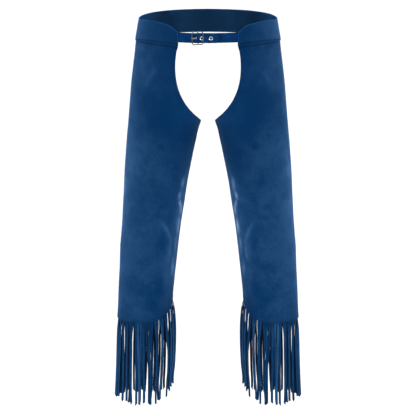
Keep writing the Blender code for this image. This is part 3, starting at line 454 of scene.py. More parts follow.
def swell(marks, angle, height):
    """The summed rise of soft marks at places on the form."""
    total = np.zeros(np.broadcast(angle, height).shape)
    scale = np.radians(1) * DEPTH(height)
    for mark in marks:
        run_x, run_z = (mark.angle_b - mark.angle_a) * scale, mark.height_b - mark.height_a
        place_x, place_z = (angle - mark.angle_a) * scale, height - mark.height_a
        length = np.hypot(run_x, run_z)
        share = (place_x * run_x + place_z * run_z) / length ** 2
        held = np.clip(share, 0.0, 1.0)
        bow = mark.bow * np.sin(np.pi * held)
        off_x = place_x - run_x * held - bow * run_z / length
        off_z = place_z - run_z * held + bow * run_x / length
        beside = np.hypot(off_x, off_z) / mark.width
        # a mark is strongest halfway, and dies away a little past its ends
        along = np.sin(np.pi * np.clip(share * 0.8 + 0.1, 0.0, 1.0))
        total = total + mark.rise * along * np.exp(-beside * beside)
    return total


def fold_rise(angle, height):
    """How far the folds push the leather out."""
    fade = smooth_step(*FOLDS_START, height) * smooth_step(*FOLDS_END, height)
    return swell(FOLDS, angle, height) * fade


def nap_and_light(angle, height):
    """How far the nap stands up, plus painted light and shade: little at the hips, painted light
    lower down and on the outer side, and the strokes.
    """
    round_leg = np.abs(angle)
    inner, outer = smooth_step(*INNER_SIDE, round_leg), smooth_step(*OUTER_SIDE, round_leg)
    below = NAP_LINE - NAP_DROP * smooth_step(*NAP_DROPS, round_leg) - height
    low = smooth_step(*NAP_CHANGE, below)
    state = NAP_AT_HIPS + OUTER_SIDE_LIGHT * outer * (1 - NAP_LOW_OUTSIDE * low)
    state = state + LOWER_LEG_LIGHT * low * (1 - NAP_LOW_INSIDE * inner)
    state = state - NAP_AT_HEM * smooth_step(*NAP_HEM_ZONE, height)
    return np.clip(state + swell(LIGHT_AND_SHADE_STROKES, angle, height), 0.0, NAP_LIMIT)


def painted_sheen_state(angle, height):
    """Painted sheen: at a leg's sides, most where they turn away from the front, and along the
    marks.
    """
    side = 1 - np.abs(np.sin(np.radians(angle)))
    inner = smooth_step(*SHEEN_INSIDE, np.abs(angle))
    at_side = SHEEN_OUTER(height) * (1 - inner) + SHEEN_INNER(height) * inner
    return np.clip(side * at_side + swell(SHEEN_MARKS, angle, height), 0.0, 1.0)


def on_form(angle, height, out):
    """Points a distance out from the folded form, on the wearer's left."""
    lift = np.asarray(out + fold_rise(angle, height))
    return bare(angle, height) + outward(angle, height) * lift[..., None]


def edge_angle(reach, height):
    """The angle at which the form stands a given distance from the centre plane."""
    core = CORE(height)
    share = (reach - core) / (OUTER(height) + LEATHER - core)
    return np.degrees(np.arccos(np.clip(share, -1.0, 1.0)))


def half_seam_angle(height):
    """Half the clear distance between the sewn pieces at the inseam, as an angle."""
    return np.degrees(SEAM / 2 / DEPTH(height))


def cut_out_angle(reach, height):
    """Where a leg panel ends at a height: at the cut-out's edge or at the inseam."""
    limit = 180 - half_seam_angle(height)
    cut = np.minimum(edge_angle(reach(height), height), limit)
    return np.where(height <= CROTCH, limit, cut)


def hem_height(angle):
    """Height of the hem, which climbs towards the inseam."""
    share = np.maximum(np.abs(angle) - HEM_RISE_FROM, 0.0) / (180 - HEM_RISE_FROM)
    return HEM + HEM_RISE * share ** HEM_RISE_POWER


# ---------------------------------------------------------------- making meshes
def deselect_all():
    """Leaves nothing selected."""
    for obj in bpy.context.selected_objects:
        obj.select_set(False)


def make_active(obj):
    """Selects one object alone, and makes it the active one."""
    deselect_all()
    obj.select_set(True)
    bpy.context.view_layer.objects.active = obj


def add_piece(name, points, faces, materials):
    """A new smooth-shaded object, from points in metres, on the wearer's own frame."""
    data = bpy.data.meshes.new(name)
    data.from_pydata(points, [], faces)
    for material in materials:
        data.materials.append(material)
    data.shade_smooth()
    obj = bpy.data.objects.new(name, data)
    bpy.context.scene.collection.objects.link(obj)
    return obj


def face_outwards(obj):
    """Drops a piece's loose points and turns its faces outwards."""
    make_active(obj)
    bpy.ops.object.mode_set(mode="EDIT")
    bpy.ops.mesh.select_all(action="SELECT")
    bpy.ops.mesh.delete_loose(use_verts=True, use_edges=True, use_faces=False)
    bpy.ops.mesh.select_all(action="SELECT")
    bpy.ops.mesh.normals_make_consistent(inside=False)
    bpy.ops.object.mode_set(mode="OBJECT")


def finish_cut(obj):
    """Cleans a cut piece's mesh up and shades its rims as edges."""
    face_outwards(obj)
    bpy.ops.object.shade_smooth_by_angle(angle=math.radians(RIM_ANGLE))


def write_cut(data, layout, **values):
    """Writes the flat cut, in metres, as a UV map, and values by point as attributes."""
    corner_points = np.zeros(len(data.loops), np.int32)
    data.loops.foreach_get("vertex_index", corner_points)
    uv = data.uv_layers.new(name="cut")
    uv.data.foreach_set("uv", layout[corner_points].ravel())
    for name, numbers in values.items():
        layer = data.attributes.new(name, "FLOAT", "POINT")
        layer.data.foreach_set("value", np.asarray(numbers, np.float32))


def cut_piece(name, face, flesh, layout, materials, holes=(), nap=NAP_AT_HIPS, brushed=0.0,
              seam=0.0):
    """A thin leather piece between two grids of points in millimetres.

    face is the grid that shows, flesh the one behind it, and layout the grid's flat cut, also in
    millimetres, which becomes the UV map. materials are those of face, flesh side and cut edge.
    holes are the (row, column) cells left out. nap is how far the nap stands up, with painted
    light and shade in it; lit is the painted sheen beyond that, and seam the painted shade, by
    point.
    """
    rows, columns = face.shape[:2]
    count = rows * columns
    faces, kinds, rim = [], [], {}
    for i in range(rows - 1):
        for j in range(columns - 1):
            if (i, j) in holes:
                continue
            a, b = i * columns + j, i * columns + j + 1
            c, d = b + columns, a + columns
            faces += [(a, d, c, b), (a + count, b + count, c + count, d + count)]
            kinds += [0, 1]
            for edge in ((a, d), (d, c), (c, b), (b, a)):
                # two cells that meet go along their edge in opposite directions
                if not rim.pop(edge[::-1], None):
                    rim[edge] = (a, b, c, d)

    flat_face, flat_flesh = face.reshape(-1, 3), flesh.reshape(-1, 3)
    middle = (flat_face + flat_flesh) / 2
    push = {}
    for (start, end), cell in rim.items():
        centre = middle[list(cell)].mean(axis=0)
        away = (middle[start] + middle[end]) / 2 - centre
        along = middle[end] - middle[start]
        through = unit(flat_face[start] - flat_flesh[start])
        away = away - along * (away @ along) / (along @ along)
        away = unit(away - through * (away @ through))
        for corner in (start, end):
            push.setdefault(corner, []).append(away)
    extra, rounded = {}, []
    for corner, directions in push.items():
        extra[corner] = 2 * count + len(rounded)
        rounded.append(middle[corner] + unit(np.sum(directions, axis=0)) * RIM_BULGE)
    for start, end in rim:
        faces += [(end, start, extra[start], extra[end]),
                  (extra[end], extra[start], start + count, end + count)]
    kinds += [2] * (2 * len(rim))

    points = np.concatenate([flat_face, flat_flesh, np.array(rounded)]) * MM
    obj = add_piece(name, points.tolist(), faces, materials)
    obj.data.polygons.foreach_set("material_index", kinds)

    tree = kdtree.KDTree(len(extra))
    for k, corner in enumerate(extra):
        tree.insert(Vector(middle[corner]), k)
    tree.balance()
    near = np.array([tree.find(Vector(p))[2] for p in middle])

    def by_point(grid):
        """A grid's values on both faces and on the rim between them."""
        values = np.broadcast_to(np.asarray(grid, float), (rows, columns) + np.shape(grid)[2:])
        values = values.reshape(count, *values.shape[2:])
        return np.concatenate([values, values, values[list(extra)]])

    write_cut(obj.data, by_point(layout) * MM,
              from_edge=np.concatenate([near, near, np.zeros(len(rounded))]) * MM,
              nap=by_point(nap), brushed=by_point(brushed), seam=by_point(seam))
    finish_cut(obj)
    return obj


def mirrored(points, side):
    """Points of the wearer's left (side 1) or right (side -1)."""
    return points * np.array([side, 1.0, 1.0])


# ---------------------------------------------------------------- finishes
class Finish:
    """The nodes of one procedural material. Noise scales are per metre, reliefs in metres."""

    def __init__(self, name):
        self.material = bpy.data.materials.new(name)
        self.material.use_nodes = True
        self.tree = self.material.node_tree
        self.shader = self.tree.nodes["Principled BSDF"]
        self.place = self.node("ShaderNodeTexCoord").outputs["Object"]

    def feed(self, socket, value):
        """Links a socket to another one, or gives it a constant."""
        if isinstance(value, bpy.types.NodeSocket):
            self.tree.links.new(value, socket)
        else:
            socket.default_value = value

    def node(self, kind, inputs=None, **settings):
        """A new node, with inputs fed by name or number."""
        made = self.tree.nodes.new(kind)
        made.location.x = -180.0 * len(self.tree.nodes)
        for key, value in settings.items():
            setattr(made, key, value)
        for key, value in (inputs or {}).items():
            self.feed(made.inputs[key], value)
        return made

    def noise(self, scale, detail=3.0, roughness=0.5):
        """Noise from 0 to 1 on the object's own coordinates."""
        return self.node("ShaderNodeTexNoise", {
            "Vector": self.place, "Scale": scale, "Detail": detail,
            "Roughness": roughness}).outputs["Fac"]

    def spread(self, value, low, high, to_low=0.0, to_high=1.0):
        """Stretches a value from one range to another, and holds it there."""
        return self.node("ShaderNodeMapRange", {
            "Value": value, "From Min": low, "From Max": high, "To Min": to_low,
            "To Max": to_high}, interpolation_type="SMOOTHSTEP").outputs["Result"]

    def attribute(self, name):
        """A value that a piece's points carry."""
        return self.node("ShaderNodeAttribute", attribute_name=name).outputs["Fac"]

    def maths(self, operation, first, second):
        """Combines two values or numbers."""
        return self.node("ShaderNodeMath", {0: first, 1: second},
                         operation=operation).outputs["Value"]

    def blend(self, share, first, second):
        """Goes from the first colour to the second as share goes from 0 to 1."""
        made = self.node("ShaderNodeMix", {"Factor": share}, data_type="RGBA")
        colours = [socket for socket in made.inputs if socket.type == "RGBA"]
        for socket, value in zip(colours, (first, second)):
            self.feed(socket, (*value[:3], 1.0) if isinstance(value, tuple) else value)
        return [socket for socket in made.outputs if socket.type == "RGBA"][0]

    def bump(self, height, strength, distance, before=None):
        """Relief from a height, on top of the relief before it."""
        inputs = {"Height": height, "Strength": strength, "Distance": distance}
        if before is not None:
            inputs["Normal"] = before
        return self.node("ShaderNodeBump", inputs).outputs["Normal"]

    def surface(self, **sockets):
        """The material, with its shader's sockets fed. Base_Color stands for Base Color."""
        for name, value in sockets.items():
            self.feed(self.shader.inputs[name.replace("_", " ")], value)
        return self.material


def shade(colour, factor):
    """A colour made darker or lighter by a factor."""
    return tuple(channel * factor for channel in colour[:3])


def nubuck(name, leather):
    """The napped face of the leather: a soft matte sheen, patches, painted sheen and shade, and
    fine pores.
    """
    finish = Finish(name)
    flat, raised_and_lit = tuple(leather.face_colour), tuple(leather.raised_and_lit_colour)
    patches = finish.spread(finish.noise(17.0, 5.0, 0.62), 0.36, 0.66, -0.5, 0.5)
    strokes = finish.spread(finish.noise(62.0, 4.0, 0.62), 0.36, 0.68, -0.5, 0.5)
    speckle = finish.spread(finish.noise(230.0, 3.0, 0.7), 0.35, 0.68, -0.5, 0.5)
    grain = finish.noise(1500.0, 2.0, 0.6)
    nap = finish.attribute("nap")
    uneven = finish.maths("MULTIPLY", patches, 0.55 * leather.mottle)
    for cloud, weight in ((strokes, 0.4), (speckle, 0.24)):
        uneven = finish.maths("ADD", uneven,
                              finish.maths("MULTIPLY", cloud, weight * leather.mottle))
    uneven = finish.maths("MULTIPLY", uneven, finish.spread(nap, 0.0, 0.8, 0.6, 1.0))
    # the nap value carries painted light and shade as well as the nap: lighter lower down, on the
    # outer side and on fold ridges
    tone = finish.blend(finish.maths("ADD", nap, uneven), flat, raised_and_lit)
    # painted sheen: the lit value, made patchy, blends the tone towards the sheen colours
    painted_sheen = finish.maths("MULTIPLY", finish.attribute("brushed"),
                              finish.spread(patches, -0.5, 0.5, 0.75, 1.25))
    toward_edge = finish.spread(finish.attribute("from_edge"), 0.0, 0.0018, 0.2, 0.0)
    for share, colour in (
            (painted_sheen, tuple(leather.sheen_glow_colour)),
            (finish.maths("POWER", painted_sheen, 2.0), tuple(leather.sheen_bright_colour)),
            (finish.spread(grain, 0.5, 0.85, 0.0, 0.3), shade(flat, 0.6)),
            # painted shade: darker under the yokes, in their groove, along the hem and at the
            # strands' roots
            (finish.attribute("seam"), shade(flat, 0.4)),
            (toward_edge, tuple(leather.edge_colour))):
        tone = finish.blend(share, tone, colour)
    pores = finish.node("ShaderNodeTexVoronoi", {"Vector": finish.place, "Scale": 900.0},
                        feature="F1").outputs["Distance"]
    relief = finish.bump(finish.noise(60.0), 0.35, 0.0012)
    relief = finish.bump(pores, 0.18, 0.0002, relief)
    relief = finish.bump(grain, 0.3, 0.00015, relief)
    dull = finish.spread(strokes, -0.5, 0.5, leather.roughness - 0.05, leather.roughness + 0.05)
    return finish.surface(
        Base_Color=tone, Roughness=dull, Normal=relief, Specular_IOR_Level=0.03,
        Sheen_Weight=leather.sheen, Sheen_Roughness=leather.sheen_spread,
        Sheen_Tint=(*leather.sheen_colour, 1.0))


def flesh_side(name, leather, depth=1.0):
    """The inner side of the leather, darker and more fibrous."""
    finish = Finish(name)
    colour = shade(leather.flesh_colour, depth)
    fibres = finish.noise(420.0, 5.0, 0.7)
    cloudy = finish.spread(finish.noise(22.0), 0.35, 0.68)
    # the flesh side follows the nap value, so it carries its painted light
    tone_share = finish.maths("ADD", finish.maths("MULTIPLY", cloudy, 0.35), finish.attribute("nap"))
    tone = finish.blend(tone_share, shade(colour, 0.7), shade(colour, 2.0))
    tone = finish.blend(finish.spread(fibres, 0.45, 0.75, 0.0, 0.42), tone, shade(colour, 1.9))
    return finish.surface(
        Base_Color=tone, Roughness=finish.spread(fibres, 0.3, 0.7, 0.86, 0.97),
        Normal=finish.bump(fibres, 0.5, 0.0004), Specular_IOR_Level=0.02)


def cut_edge(name, leather, paler=1.0):
    """The raw edge of the leather, darkened by the painted shade that its piece carries."""
    finish = Finish(name)
    colour = shade(leather.edge_colour, paler)
    fibres = finish.noise(700.0, 4.0, 0.65)
    tone = finish.blend(finish.spread(fibres, 0.35, 0.7), shade(colour, 0.75),
                        shade(colour, 1.25))
    tone = finish.blend(finish.attribute("seam"), tone, shade(leather.edge_colour, 0.8))
    return finish.surface(
        Base_Color=tone, Roughness=finish.spread(fibres, 0.3, 0.7, 0.7, 0.9),
        Normal=finish.bump(fibres, 0.4, 0.0003), Specular_IOR_Level=0.05)


def smooth_leather(name, leather):
    """The straps' smoother face, with fine pores: darker by its edges, partly as painted shade
    that outlines the tip, with a painted shadow beside the tip and painted shade in the eyelets'
    holes.
    """
    finish = Finish(name)
    colour = tuple(leather.strap_colour)
    cloudy = finish.spread(finish.noise(45.0), 0.35, 0.68)
    grain = finish.noise(1100.0, 3.0, 0.6)
    toward_edge = finish.spread(finish.attribute("from_edge"), 0.0, 0.0036, 1.0, 0.0)
    tone = finish.blend(cloudy, shade(colour, 0.85), shade(colour, 1.12))
    tone = finish.blend(finish.spread(grain, 0.52, 0.8, 0.0, 0.4), tone, shade(colour, 0.5))
    # painted shade: the tip's shadow and the eyelets' holes
    tone = finish.blend(finish.attribute("seam"), tone, shade(colour, 0.2))
    tone = finish.blend(toward_edge, tone, tuple(leather.edge_colour))
    return finish.surface(
        Base_Color=tone, Roughness=finish.spread(grain, 0.3, 0.7, 0.55, 0.72),
        Normal=finish.bump(grain, 0.35, 0.0002), Specular_IOR_Level=0.025)


def sewing_thread(name, colour):
    """Twisted sewing thread."""
    finish = Finish(name)
    twist = finish.node("ShaderNodeTexWave", {"Vector": finish.place, "Scale": 420.0},
                        wave_type="BANDS", bands_direction="DIAGONAL").outputs["Fac"]
    return finish.surface(
        Base_Color=finish.blend(twist, shade(colour, 0.6), shade(colour, 1.3)),
        Roughness=finish.spread(twist, 0.0, 1.0, 0.5, 0.65),
        Normal=finish.bump(twist, 0.5, 0.0001), Specular_IOR_Level=0.1)


def plated_wire(name, colour, polish):
    """Polished plating with faint swirls and a little wear."""
    finish = Finish(name)
    swirls = finish.noise(900.0, 4.0, 0.6)
    tone_share = finish.spread(finish.noise(260.0), 0.45, 0.7)
    return finish.surface(
        Base_Color=finish.blend(tone_share, tuple(colour), shade(colour, 0.78)),
        Roughness=finish.spread(swirls, 0.3, 0.7, polish - 0.06, polish + 0.1),
        Normal=finish.bump(swirls, 0.08, 0.0001), Metallic=1.0)


def studio_floor(name, stage):
    """The near-white matte floor."""
    finish = Finish(name)
    colour = tuple(stage.floor_colour)
    tone = finish.blend(finish.noise(2.0, 2.0), shade(colour, 0.995), colour)
    return finish.surface(Base_Color=tone, Roughness=0.9, Specular_IOR_Level=0.0)


def studio_backdrop(name):
    """The evenly white backdrop."""
    return Finish(name).surface(
        Base_Color=(0.0, 0.0, 0.0, 1.0), Emission_Color=(1.0, 1.0, 1.0, 1.0),
        Emission_Strength=1.0, Specular_IOR_Level=0.0)


# ---------------------------------------------------------------- leg panels
def edge_walk(reach, way, top):
    """Evenly spaced places on the front (way 1) or back (-1) edge of the cut-out, going up."""
    heights = CROTCH + (top - CROTCH) * np.linspace(0.0, 1.0, EDGE_POINTS) ** 2
    angles = way * cut_out_angle(reach, heights)
    gone = walked(bare(angles, heights))
    stops = np.linspace(0.0, gone[-1], EDGE_COLUMNS + 1)
    return np.interp(stops, gone, angles), np.interp(stops, gone, heights)


def leg_top_edge():
    """Where each column of a leg panel ends: front edge, under the yoke, back edge."""
    front_top = WAIST_BOTTOM(WAIST_LINE[-1].angle) + YOKE_LAP
    back_top = WAIST_BOTTOM(-SIDE_BACK_SEAM) + YOKE_LAP
    front_angles, front_heights = edge_walk(FRONT_REACH, 1, front_top)
    back_angles, back_heights = edge_walk(BACK_REACH, -1, back_top)
    under_yoke = LEG_COLUMNS - 2 * EDGE_COLUMNS
    middle = np.linspace(front_angles[-1], back_angles[-1], under_yoke + 1)[1:-1]
    angles = np.concatenate([front_angles, middle, back_angles[::-1]])
    heights = np.concatenate([front_heights, WAIST_BOTTOM(middle) + YOKE_LAP,
                              back_heights[::-1]])
    return angles, heights


def leg_places():
    """Angles and heights of a leg panel's points, row by row from the top edge to the hem."""
    share_round = np.linspace(1.0, -1.0, LEG_COLUMNS + 1)
    base = CROTCH - INSEAM_LEAD
    top_angles, top_heights = leg_top_edge()
    below = (180 - half_seam_angle(base)) * share_round
    share = np.linspace(1.0, 0.0, LEG_UPPER_ROWS + 1)[:-1, None]
    upper_angles = below + (top_angles - below) * share
    upper_heights = base + (top_heights - base) * share
    levels = np.linspace(base, HEM, LEG_LOWER_ROWS + 1)[:, None]
    lower_angles = (180 - half_seam_angle(levels)) * share_round
    to_hem = smooth_step(HEM + HEM_RISE_FELT, HEM, levels)
    lower_heights = levels + to_hem * (hem_height(lower_angles) - HEM)
    return (np.concatenate([upper_angles, lower_angles]),
            np.concatenate([upper_heights, lower_heights]))


def flat_layout(angles, heights):
    """The cut laid out flat: distance round the form, and height."""
    round_form = np.radians(angles) * (DEPTH(heights) + OUTER(heights) - CORE(heights)) / 2
    return np.stack([round_form, heights], axis=-1)


def dark_line(beside, width):
    """A soft dark line, from how far a place is beside its middle."""
    return np.exp(-(beside / width) ** 2)


def cut_leg(label, side, materials):
    """One leg panel, with painted shadow under the yoke and painted shade along the hem."""
    angles, heights = leg_places()
    face = mirrored(on_form(angles, heights, INNER_FACE + LEATHER), side)
    flesh = mirrored(on_form(angles, heights, INNER_FACE), side)
    # painted shadow under the yoke's lower edge, and painted shade along the hem
    depth, down, width = UNDER_YOKE
    seam = depth * dark_line(heights - WAIST_BOTTOM(angles) + down, width)
    depth, up, width = AT_HEM
    seam = seam + depth * dark_line(heights - hem_height(angles) - up, width)
    return cut_piece("leg_panel_" + label, face, flesh, flat_layout(angles, heights), materials,
                     nap=nap_and_light(angles, heights), brushed=painted_sheen_state(angles, heights),
                     seam=seam)


# ---------------------------------------------------------------- yokes and back waistband
def waist_heights(angle):
    """The rows of a waist piece, from its upper to its lower edge."""
    down = np.linspace(0.0, 1.0, WAIST_ROWS + 1)[:, None]
    return WAIST_TOP(angle) + (WAIST_BOTTOM(angle) - WAIST_TOP(angle)) * down


def seam_lift(angle):
    """Height of the stitched groove over the lower edge of the yokes and the waistband."""
    return SEAM_LIFT + SEAM_CLIMB * smooth_step(*SEAM_CLIMBS, angle)


def pressed(angle, height):
    """How far the stitched groove draws the leather in, from 0 to 1."""
    return dark_line(height - WAIST_BOTTOM(angle) - seam_lift(angle), GROOVE_WIDTH)


def waist_piece(name, angles, heights, side, materials):
    """A yoke or the waistband, with the stitched groove over its lower edge."""
    mirror_angle = np.where(angles >= -90, angles, -180 - angles)
    groove = pressed(mirror_angle, heights)
    # painted shade along the lower edge; the groove also takes painted shade
    lower_edge_shade = dark_line(heights - WAIST_BOTTOM(mirror_angle), EDGE_SHADE_WIDTH)
    # painted light: the waistband is lighter towards the middle of the back
    tone_share = WAIST_LIGHTENED_BY * smooth_step(*WAIST_LIGHTENED, mirror_angle)
    face = on_form(angles, heights, YOKE_FACE + YOKE_WALL - GROOVE_DEPTH * groove)
    flesh = on_form(angles, heights, YOKE_FACE)
    return cut_piece(name, mirrored(face, side), mirrored(flesh, side),
                     flat_layout(angles, heights), materials,
                     nap=nap_and_light(mirror_angle, heights) + tone_share,
                     brushed=painted_sheen_state(mirror_angle, heights),
                     seam=GROOVE_SHADE * groove + lower_edge_shade)


def cut_yoke(label, side, materials):
    """One yoke, from its cut front edge to where it meets the waistband at the side back."""
    def first(height):
        return edge_angle(FRONT_REACH(height), height)

    last = -SIDE_BACK_SEAM + np.degrees(SEAM / 2 / OUTER(0.0))
    share = np.linspace(0.0, 1.0, YOKE_COLUMNS + 1)[None, :]
    heights = waist_heights(first(0.0) + (last - first(0.0)) * share)
    angles = first(heights) + (last - first(heights)) * share
    return waist_piece("yoke_panel_" + label, angles, heights, side, materials)


def cut_band(materials):
    """The back waistband, between the side-back seams."""
    first = -SIDE_BACK_SEAM - np.degrees(SEAM / 2 / OUTER(0.0))
    angle = np.linspace(first, -180 - first, BAND_COLUMNS + 1)[None, :]
    heights = waist_heights(np.where(angle >= -90, angle, -180 - angle))
    return waist_piece("waistband_back", np.broadcast_to(angle, heights.shape), heights, 1,
                       materials)


# ---------------------------------------------------------------- straps
def strap_place(x, out, height):
    """Points out from the form at a distance x from the middle, on either side of it."""
    angle = np.degrees(np.arccos(x / OUTER(0.0)))
    level = np.asarray(height, float) + STRAP_MIDDLE
    return bare(angle, level) + outward(angle, level) * np.asarray(out, float)[..., None]


def buckle_lean(x, height):
    """Sideways shift that carries the strap's folded end along with the tilted buckle."""
    share = smooth_step(LEAN_START, SLOT_END, x)
    return -height * math.sin(math.radians(BUCKLE_TILT)) * share


def walk_strap(table, exact=False):
    """Closely spaced (x, out, half) along a strap for the middle of its wall.

    exact adds the table's own places, for an outline with corners.
    """
    xs = [p.x for p in table]
    steps = max(int(abs(xs[-1] - xs[0]) / STRAP_STEP), 2)
    stops = np.linspace(xs[0], xs[-1], steps + 1)
    if exact:
        stops = np.unique(np.concatenate([stops, xs]))
    out, half = column(table, "x", "out"), column(table, "x", "half")
    return [(float(x), float(out(x)) + STRAP_WALL / 2, float(half(x))) for x in stops]


def tip_shade(x, height):
    """Painted shade on the lower strap: a painted shadow beside the tip that lies on it, and
    the dark of the eyelets' holes.
    """
    start, end = TIP_STRAP[TIP_START], TIP_STRAP[-1]
    slope = (end.x - start.x) / (start.half - end.half)
    away = (x - end.x + (np.abs(height) - end.half) * slope) / math.hypot(1.0, slope)
    dark = TIP_SHADE * np.exp(-(away / TIP_SHADE_WIDTH) ** 2)
    for centre, radius in EYELET_SEATS:
        under = smooth_step(2.0 * radius, radius, np.hypot(x - centre, height))
        dark = np.maximum(dark, under)
    return dark


def cut_strap(name, path, shares, materials, leans, holes=(), shaded=0):
    """A strap along a path of (x, out, half-height).

    shares are the rows across it, from -1 to 1 of its half-height. leans says that it follows
    the tilted buckle. The first shaded rows of the path lie under the tip of the other strap.
    """
    path = np.array(path)
    face_out = 1 if path[0, 0] < path[1, 0] else -1
    ahead = np.roll(path, -1, axis=0)[:, :2]
    behind = np.roll(path, 1, axis=0)[:, :2]
    ahead[-1], behind[0] = path[-1, :2], path[0, :2]
    along = unit(ahead - behind)
    heights = path[:, 2:] * np.array(shares)
    grids = []
    for sign in (face_out, -face_out):
        x = path[:, 0] - sign * along[:, 1] * STRAP_WALL / 2
        out = path[:, 1] + sign * along[:, 0] * STRAP_WALL / 2
        shift = buckle_lean(x[:, None], heights) if leans else 0.0
        grids.append(strap_place(x[:, None] + shift, out[:, None], heights))
    run = np.broadcast_to(walked(path[:, :2])[:, None], heights.shape)
    under_tip = np.arange(len(path))[:, None] < shaded
    return cut_piece(name, grids[0], grids[1], np.stack([run, heights], axis=-1), materials,
                     holes, seam=np.where(under_tip, tip_shade(path[:, :1], heights), 0.0))


def tip_strap_seat(x):
    """Middle of the tip strap's wall at a distance x, and the direction straight out of it."""
    out = column(TIP_STRAP, "x", "out")
    start, end = (strap_place(s, float(out(s)) + STRAP_WALL / 2, 0.0) for s in (x - 1, x + 1))
    up = strap_place(x, 0.0, 10.0) - strap_place(x, 0.0, -10.0)
    return (start + end) / 2, unit(np.cross(end - start, up))


def punch(strap, centre, axis, radius):
    """Punches a round hole through a strap."""
    deselect_all()
    turn = Vector(axis).to_track_quat("Z", "X").to_euler()
    bpy.ops.mesh.primitive_cylinder_add(vertices=PUNCH_SIDES, radius=radius * MM,
                                        depth=PUNCH_LENGTH * MM, location=Vector(centre) * MM,
                                        rotation=turn)
    punch_pin = bpy.context.active_object
    cut = strap.modifiers.new("hole", "BOOLEAN")
    cut.operation = "DIFFERENCE"
    cut.object = punch_pin
    make_active(strap)
    bpy.ops.object.modifier_apply(modifier=cut.name)
    bpy.data.objects.remove(punch_pin, do_unlink=True)


def cut_tip_strap(materials):
    """The long strap, with its pointed tip, eyelet holes and prong hole."""
    shares = [*(-share for share in reversed(STRAP_LINES)), 0.0, *STRAP_LINES]
    strap = cut_strap("strap_long", walk_strap(TIP_STRAP, exact=True), shares, materials,
                      leans=False)
    for x, radius in (*EYELET_SEATS, PRONG_HOLE):
        centre, axis = tip_strap_seat(x)
        punch(strap, centre, axis, radius)
    return strap


def cut_buckle_strap(materials):
    """The short strap, folded round the buckle's middle bar, with a slot for the prong."""
    path = walk_strap(BUCKLE_STRAP_FRONT)
    first = len(path) - 1
    radius = BUCKLE_WIRE + SEAM + STRAP_WALL / 2
    for k in range(STRAP_FOLD_STEPS + 1):
        turn = math.pi * (0.5 + k / STRAP_FOLD_STEPS)
        path.append((BUCKLE_X + radius * math.cos(turn), MIDDLE_BAR_OUT + radius * math.sin(turn),
                     STRAP_HEIGHT / 2))
    last = len(path)
    path += walk_strap(BUCKLE_STRAP_RETURN)
    above = [SLOT_HALF_HEIGHT / (STRAP_HEIGHT / 2), *FOLDED_STRAP_LINES]
    shares = [-share for share in reversed(above)] + above
    slot = {(i, len(above) - 1) for i in range(first, last)}
    return cut_strap("strap_short", path, shares, materials, leans=True, holes=slot,
                     shaded=first)


# ---------------------------------------------------------------- fringe
Strand = namedtuple("Strand",
                    "angle layer drift sway phase twist extra slant nap brushed lean wide shift")


def strand_shapes(count):
    """Seeded differences between the strands."""
    dice, second = random.Random(HANG_SEED), random.Random(CUT_SEED)
    pair_nap = [second.uniform(0.0, 1.0) for _ in range(count // 2 + 1)]
    return [
        Strand(
            angle=180 - 360 * (k + 0.5) / count,
            layer=STRAND_LAYER if k % 2 else -STRAND_LAYER,
            drift=dice.uniform(-0.7, 0.7),
            sway=dice.uniform(0.4, 1.5),
            phase=dice.uniform(0.0, 2 * math.pi),
            twist=dice.uniform(-16.0, 16.0),
            extra=dice.uniform(-6.0, 5.0),
            slant=dice.uniform(-3.5, 3.5),
            nap=STRAND_NAP + PAIR_NAP * pair_nap[k // 2] + second.uniform(-0.12, 0.12),
            brushed=PAIR_BRUSHED * pair_nap[k // 2] ** 2,
            lean=second.uniform(-3.4, 3.4),
            wide=second.uniform(0.88, 1.12),
            shift=second.uniform(-1.6, 1.6),
        )
        for k in range(count)
    ]


def parted(angle, share):
    """How far a strand is pushed round the hem, towards the front of the inseam."""
    total = 0.0
    for parting in PARTINGS:
        beside = (angle - parting.angle + 180) % 360 - 180
        push = math.exp(-(beside / PARTING_REACH) ** 2) * math.copysign(parting.gap / 2, beside)
        total += push * smooth_step(parting.start, parting.start + PARTING_OPENS, share)
    return total


def strand_ring(root, tangent, normal, strand, share, width):
    """The corners of a strand's section, a share of the way down it."""
    loose = smooth_step(*STRAND_LOOSE, share)
    wave = strand.sway * math.sin(STRAND_WAVE * share + strand.phase)
    drift = (strand.drift + strand.shift + wave) * loose - parted(strand.angle, share)
    drift += strand.lean * share ** 3
    apart = strand.layer * smooth_step(0.0, STRAND_APART, share)
    centre = root + tangent * drift + normal * apart
    facing = math.cos(math.radians(strand.angle))
    belly = math.sqrt(max(math.sin(math.pi * min(share * BELLY_DOWN, 1.0)), 0.0))
    centre[0] += max(facing, 0.0) * FRINGE_FLARE * share ** 2
    centre[0] += min(facing, 0.0) * FRINGE_BULGE * belly
    shorter = FRINGE_SHORTER * max(facing, 0.0) ** 2
    centre[2] -= (STRAND_LENGTH - shorter + strand.extra) * share
    # a strand that hangs at the side of a leg turns towards the front
    turned = math.copysign(SIDE_TWIST * abs(facing) ** 3, facing * math.sin(2 * strand.phase))
    turn = math.radians((strand.twist + turned) * loose)
    across = tangent * math.cos(turn) + normal * math.sin(turn)
    through = (normal * math.cos(turn) - tangent * math.sin(turn)) * (FRINGE_WALL / 2)
    wide = width / 2 * strand.wide * (1 - STRAND_TAPER * share)
    slant = np.array([0.0, 0.0, strand.slant if share == 1.0 else 0.0])
    return [centre + across * (way * (wide - inset)) + through * thick + slant * way
            for way, inset, thick, _ in STRAND_SECTION]


def strip_row(lift, out, count):
    """Points at even angles along the hem, raised and moved out by some distance."""
    limit = 180 - half_seam_angle(HEM)
    angles = np.linspace(limit, -limit, count + 1)
    return on_form(angles, hem_height(angles) + lift, out)


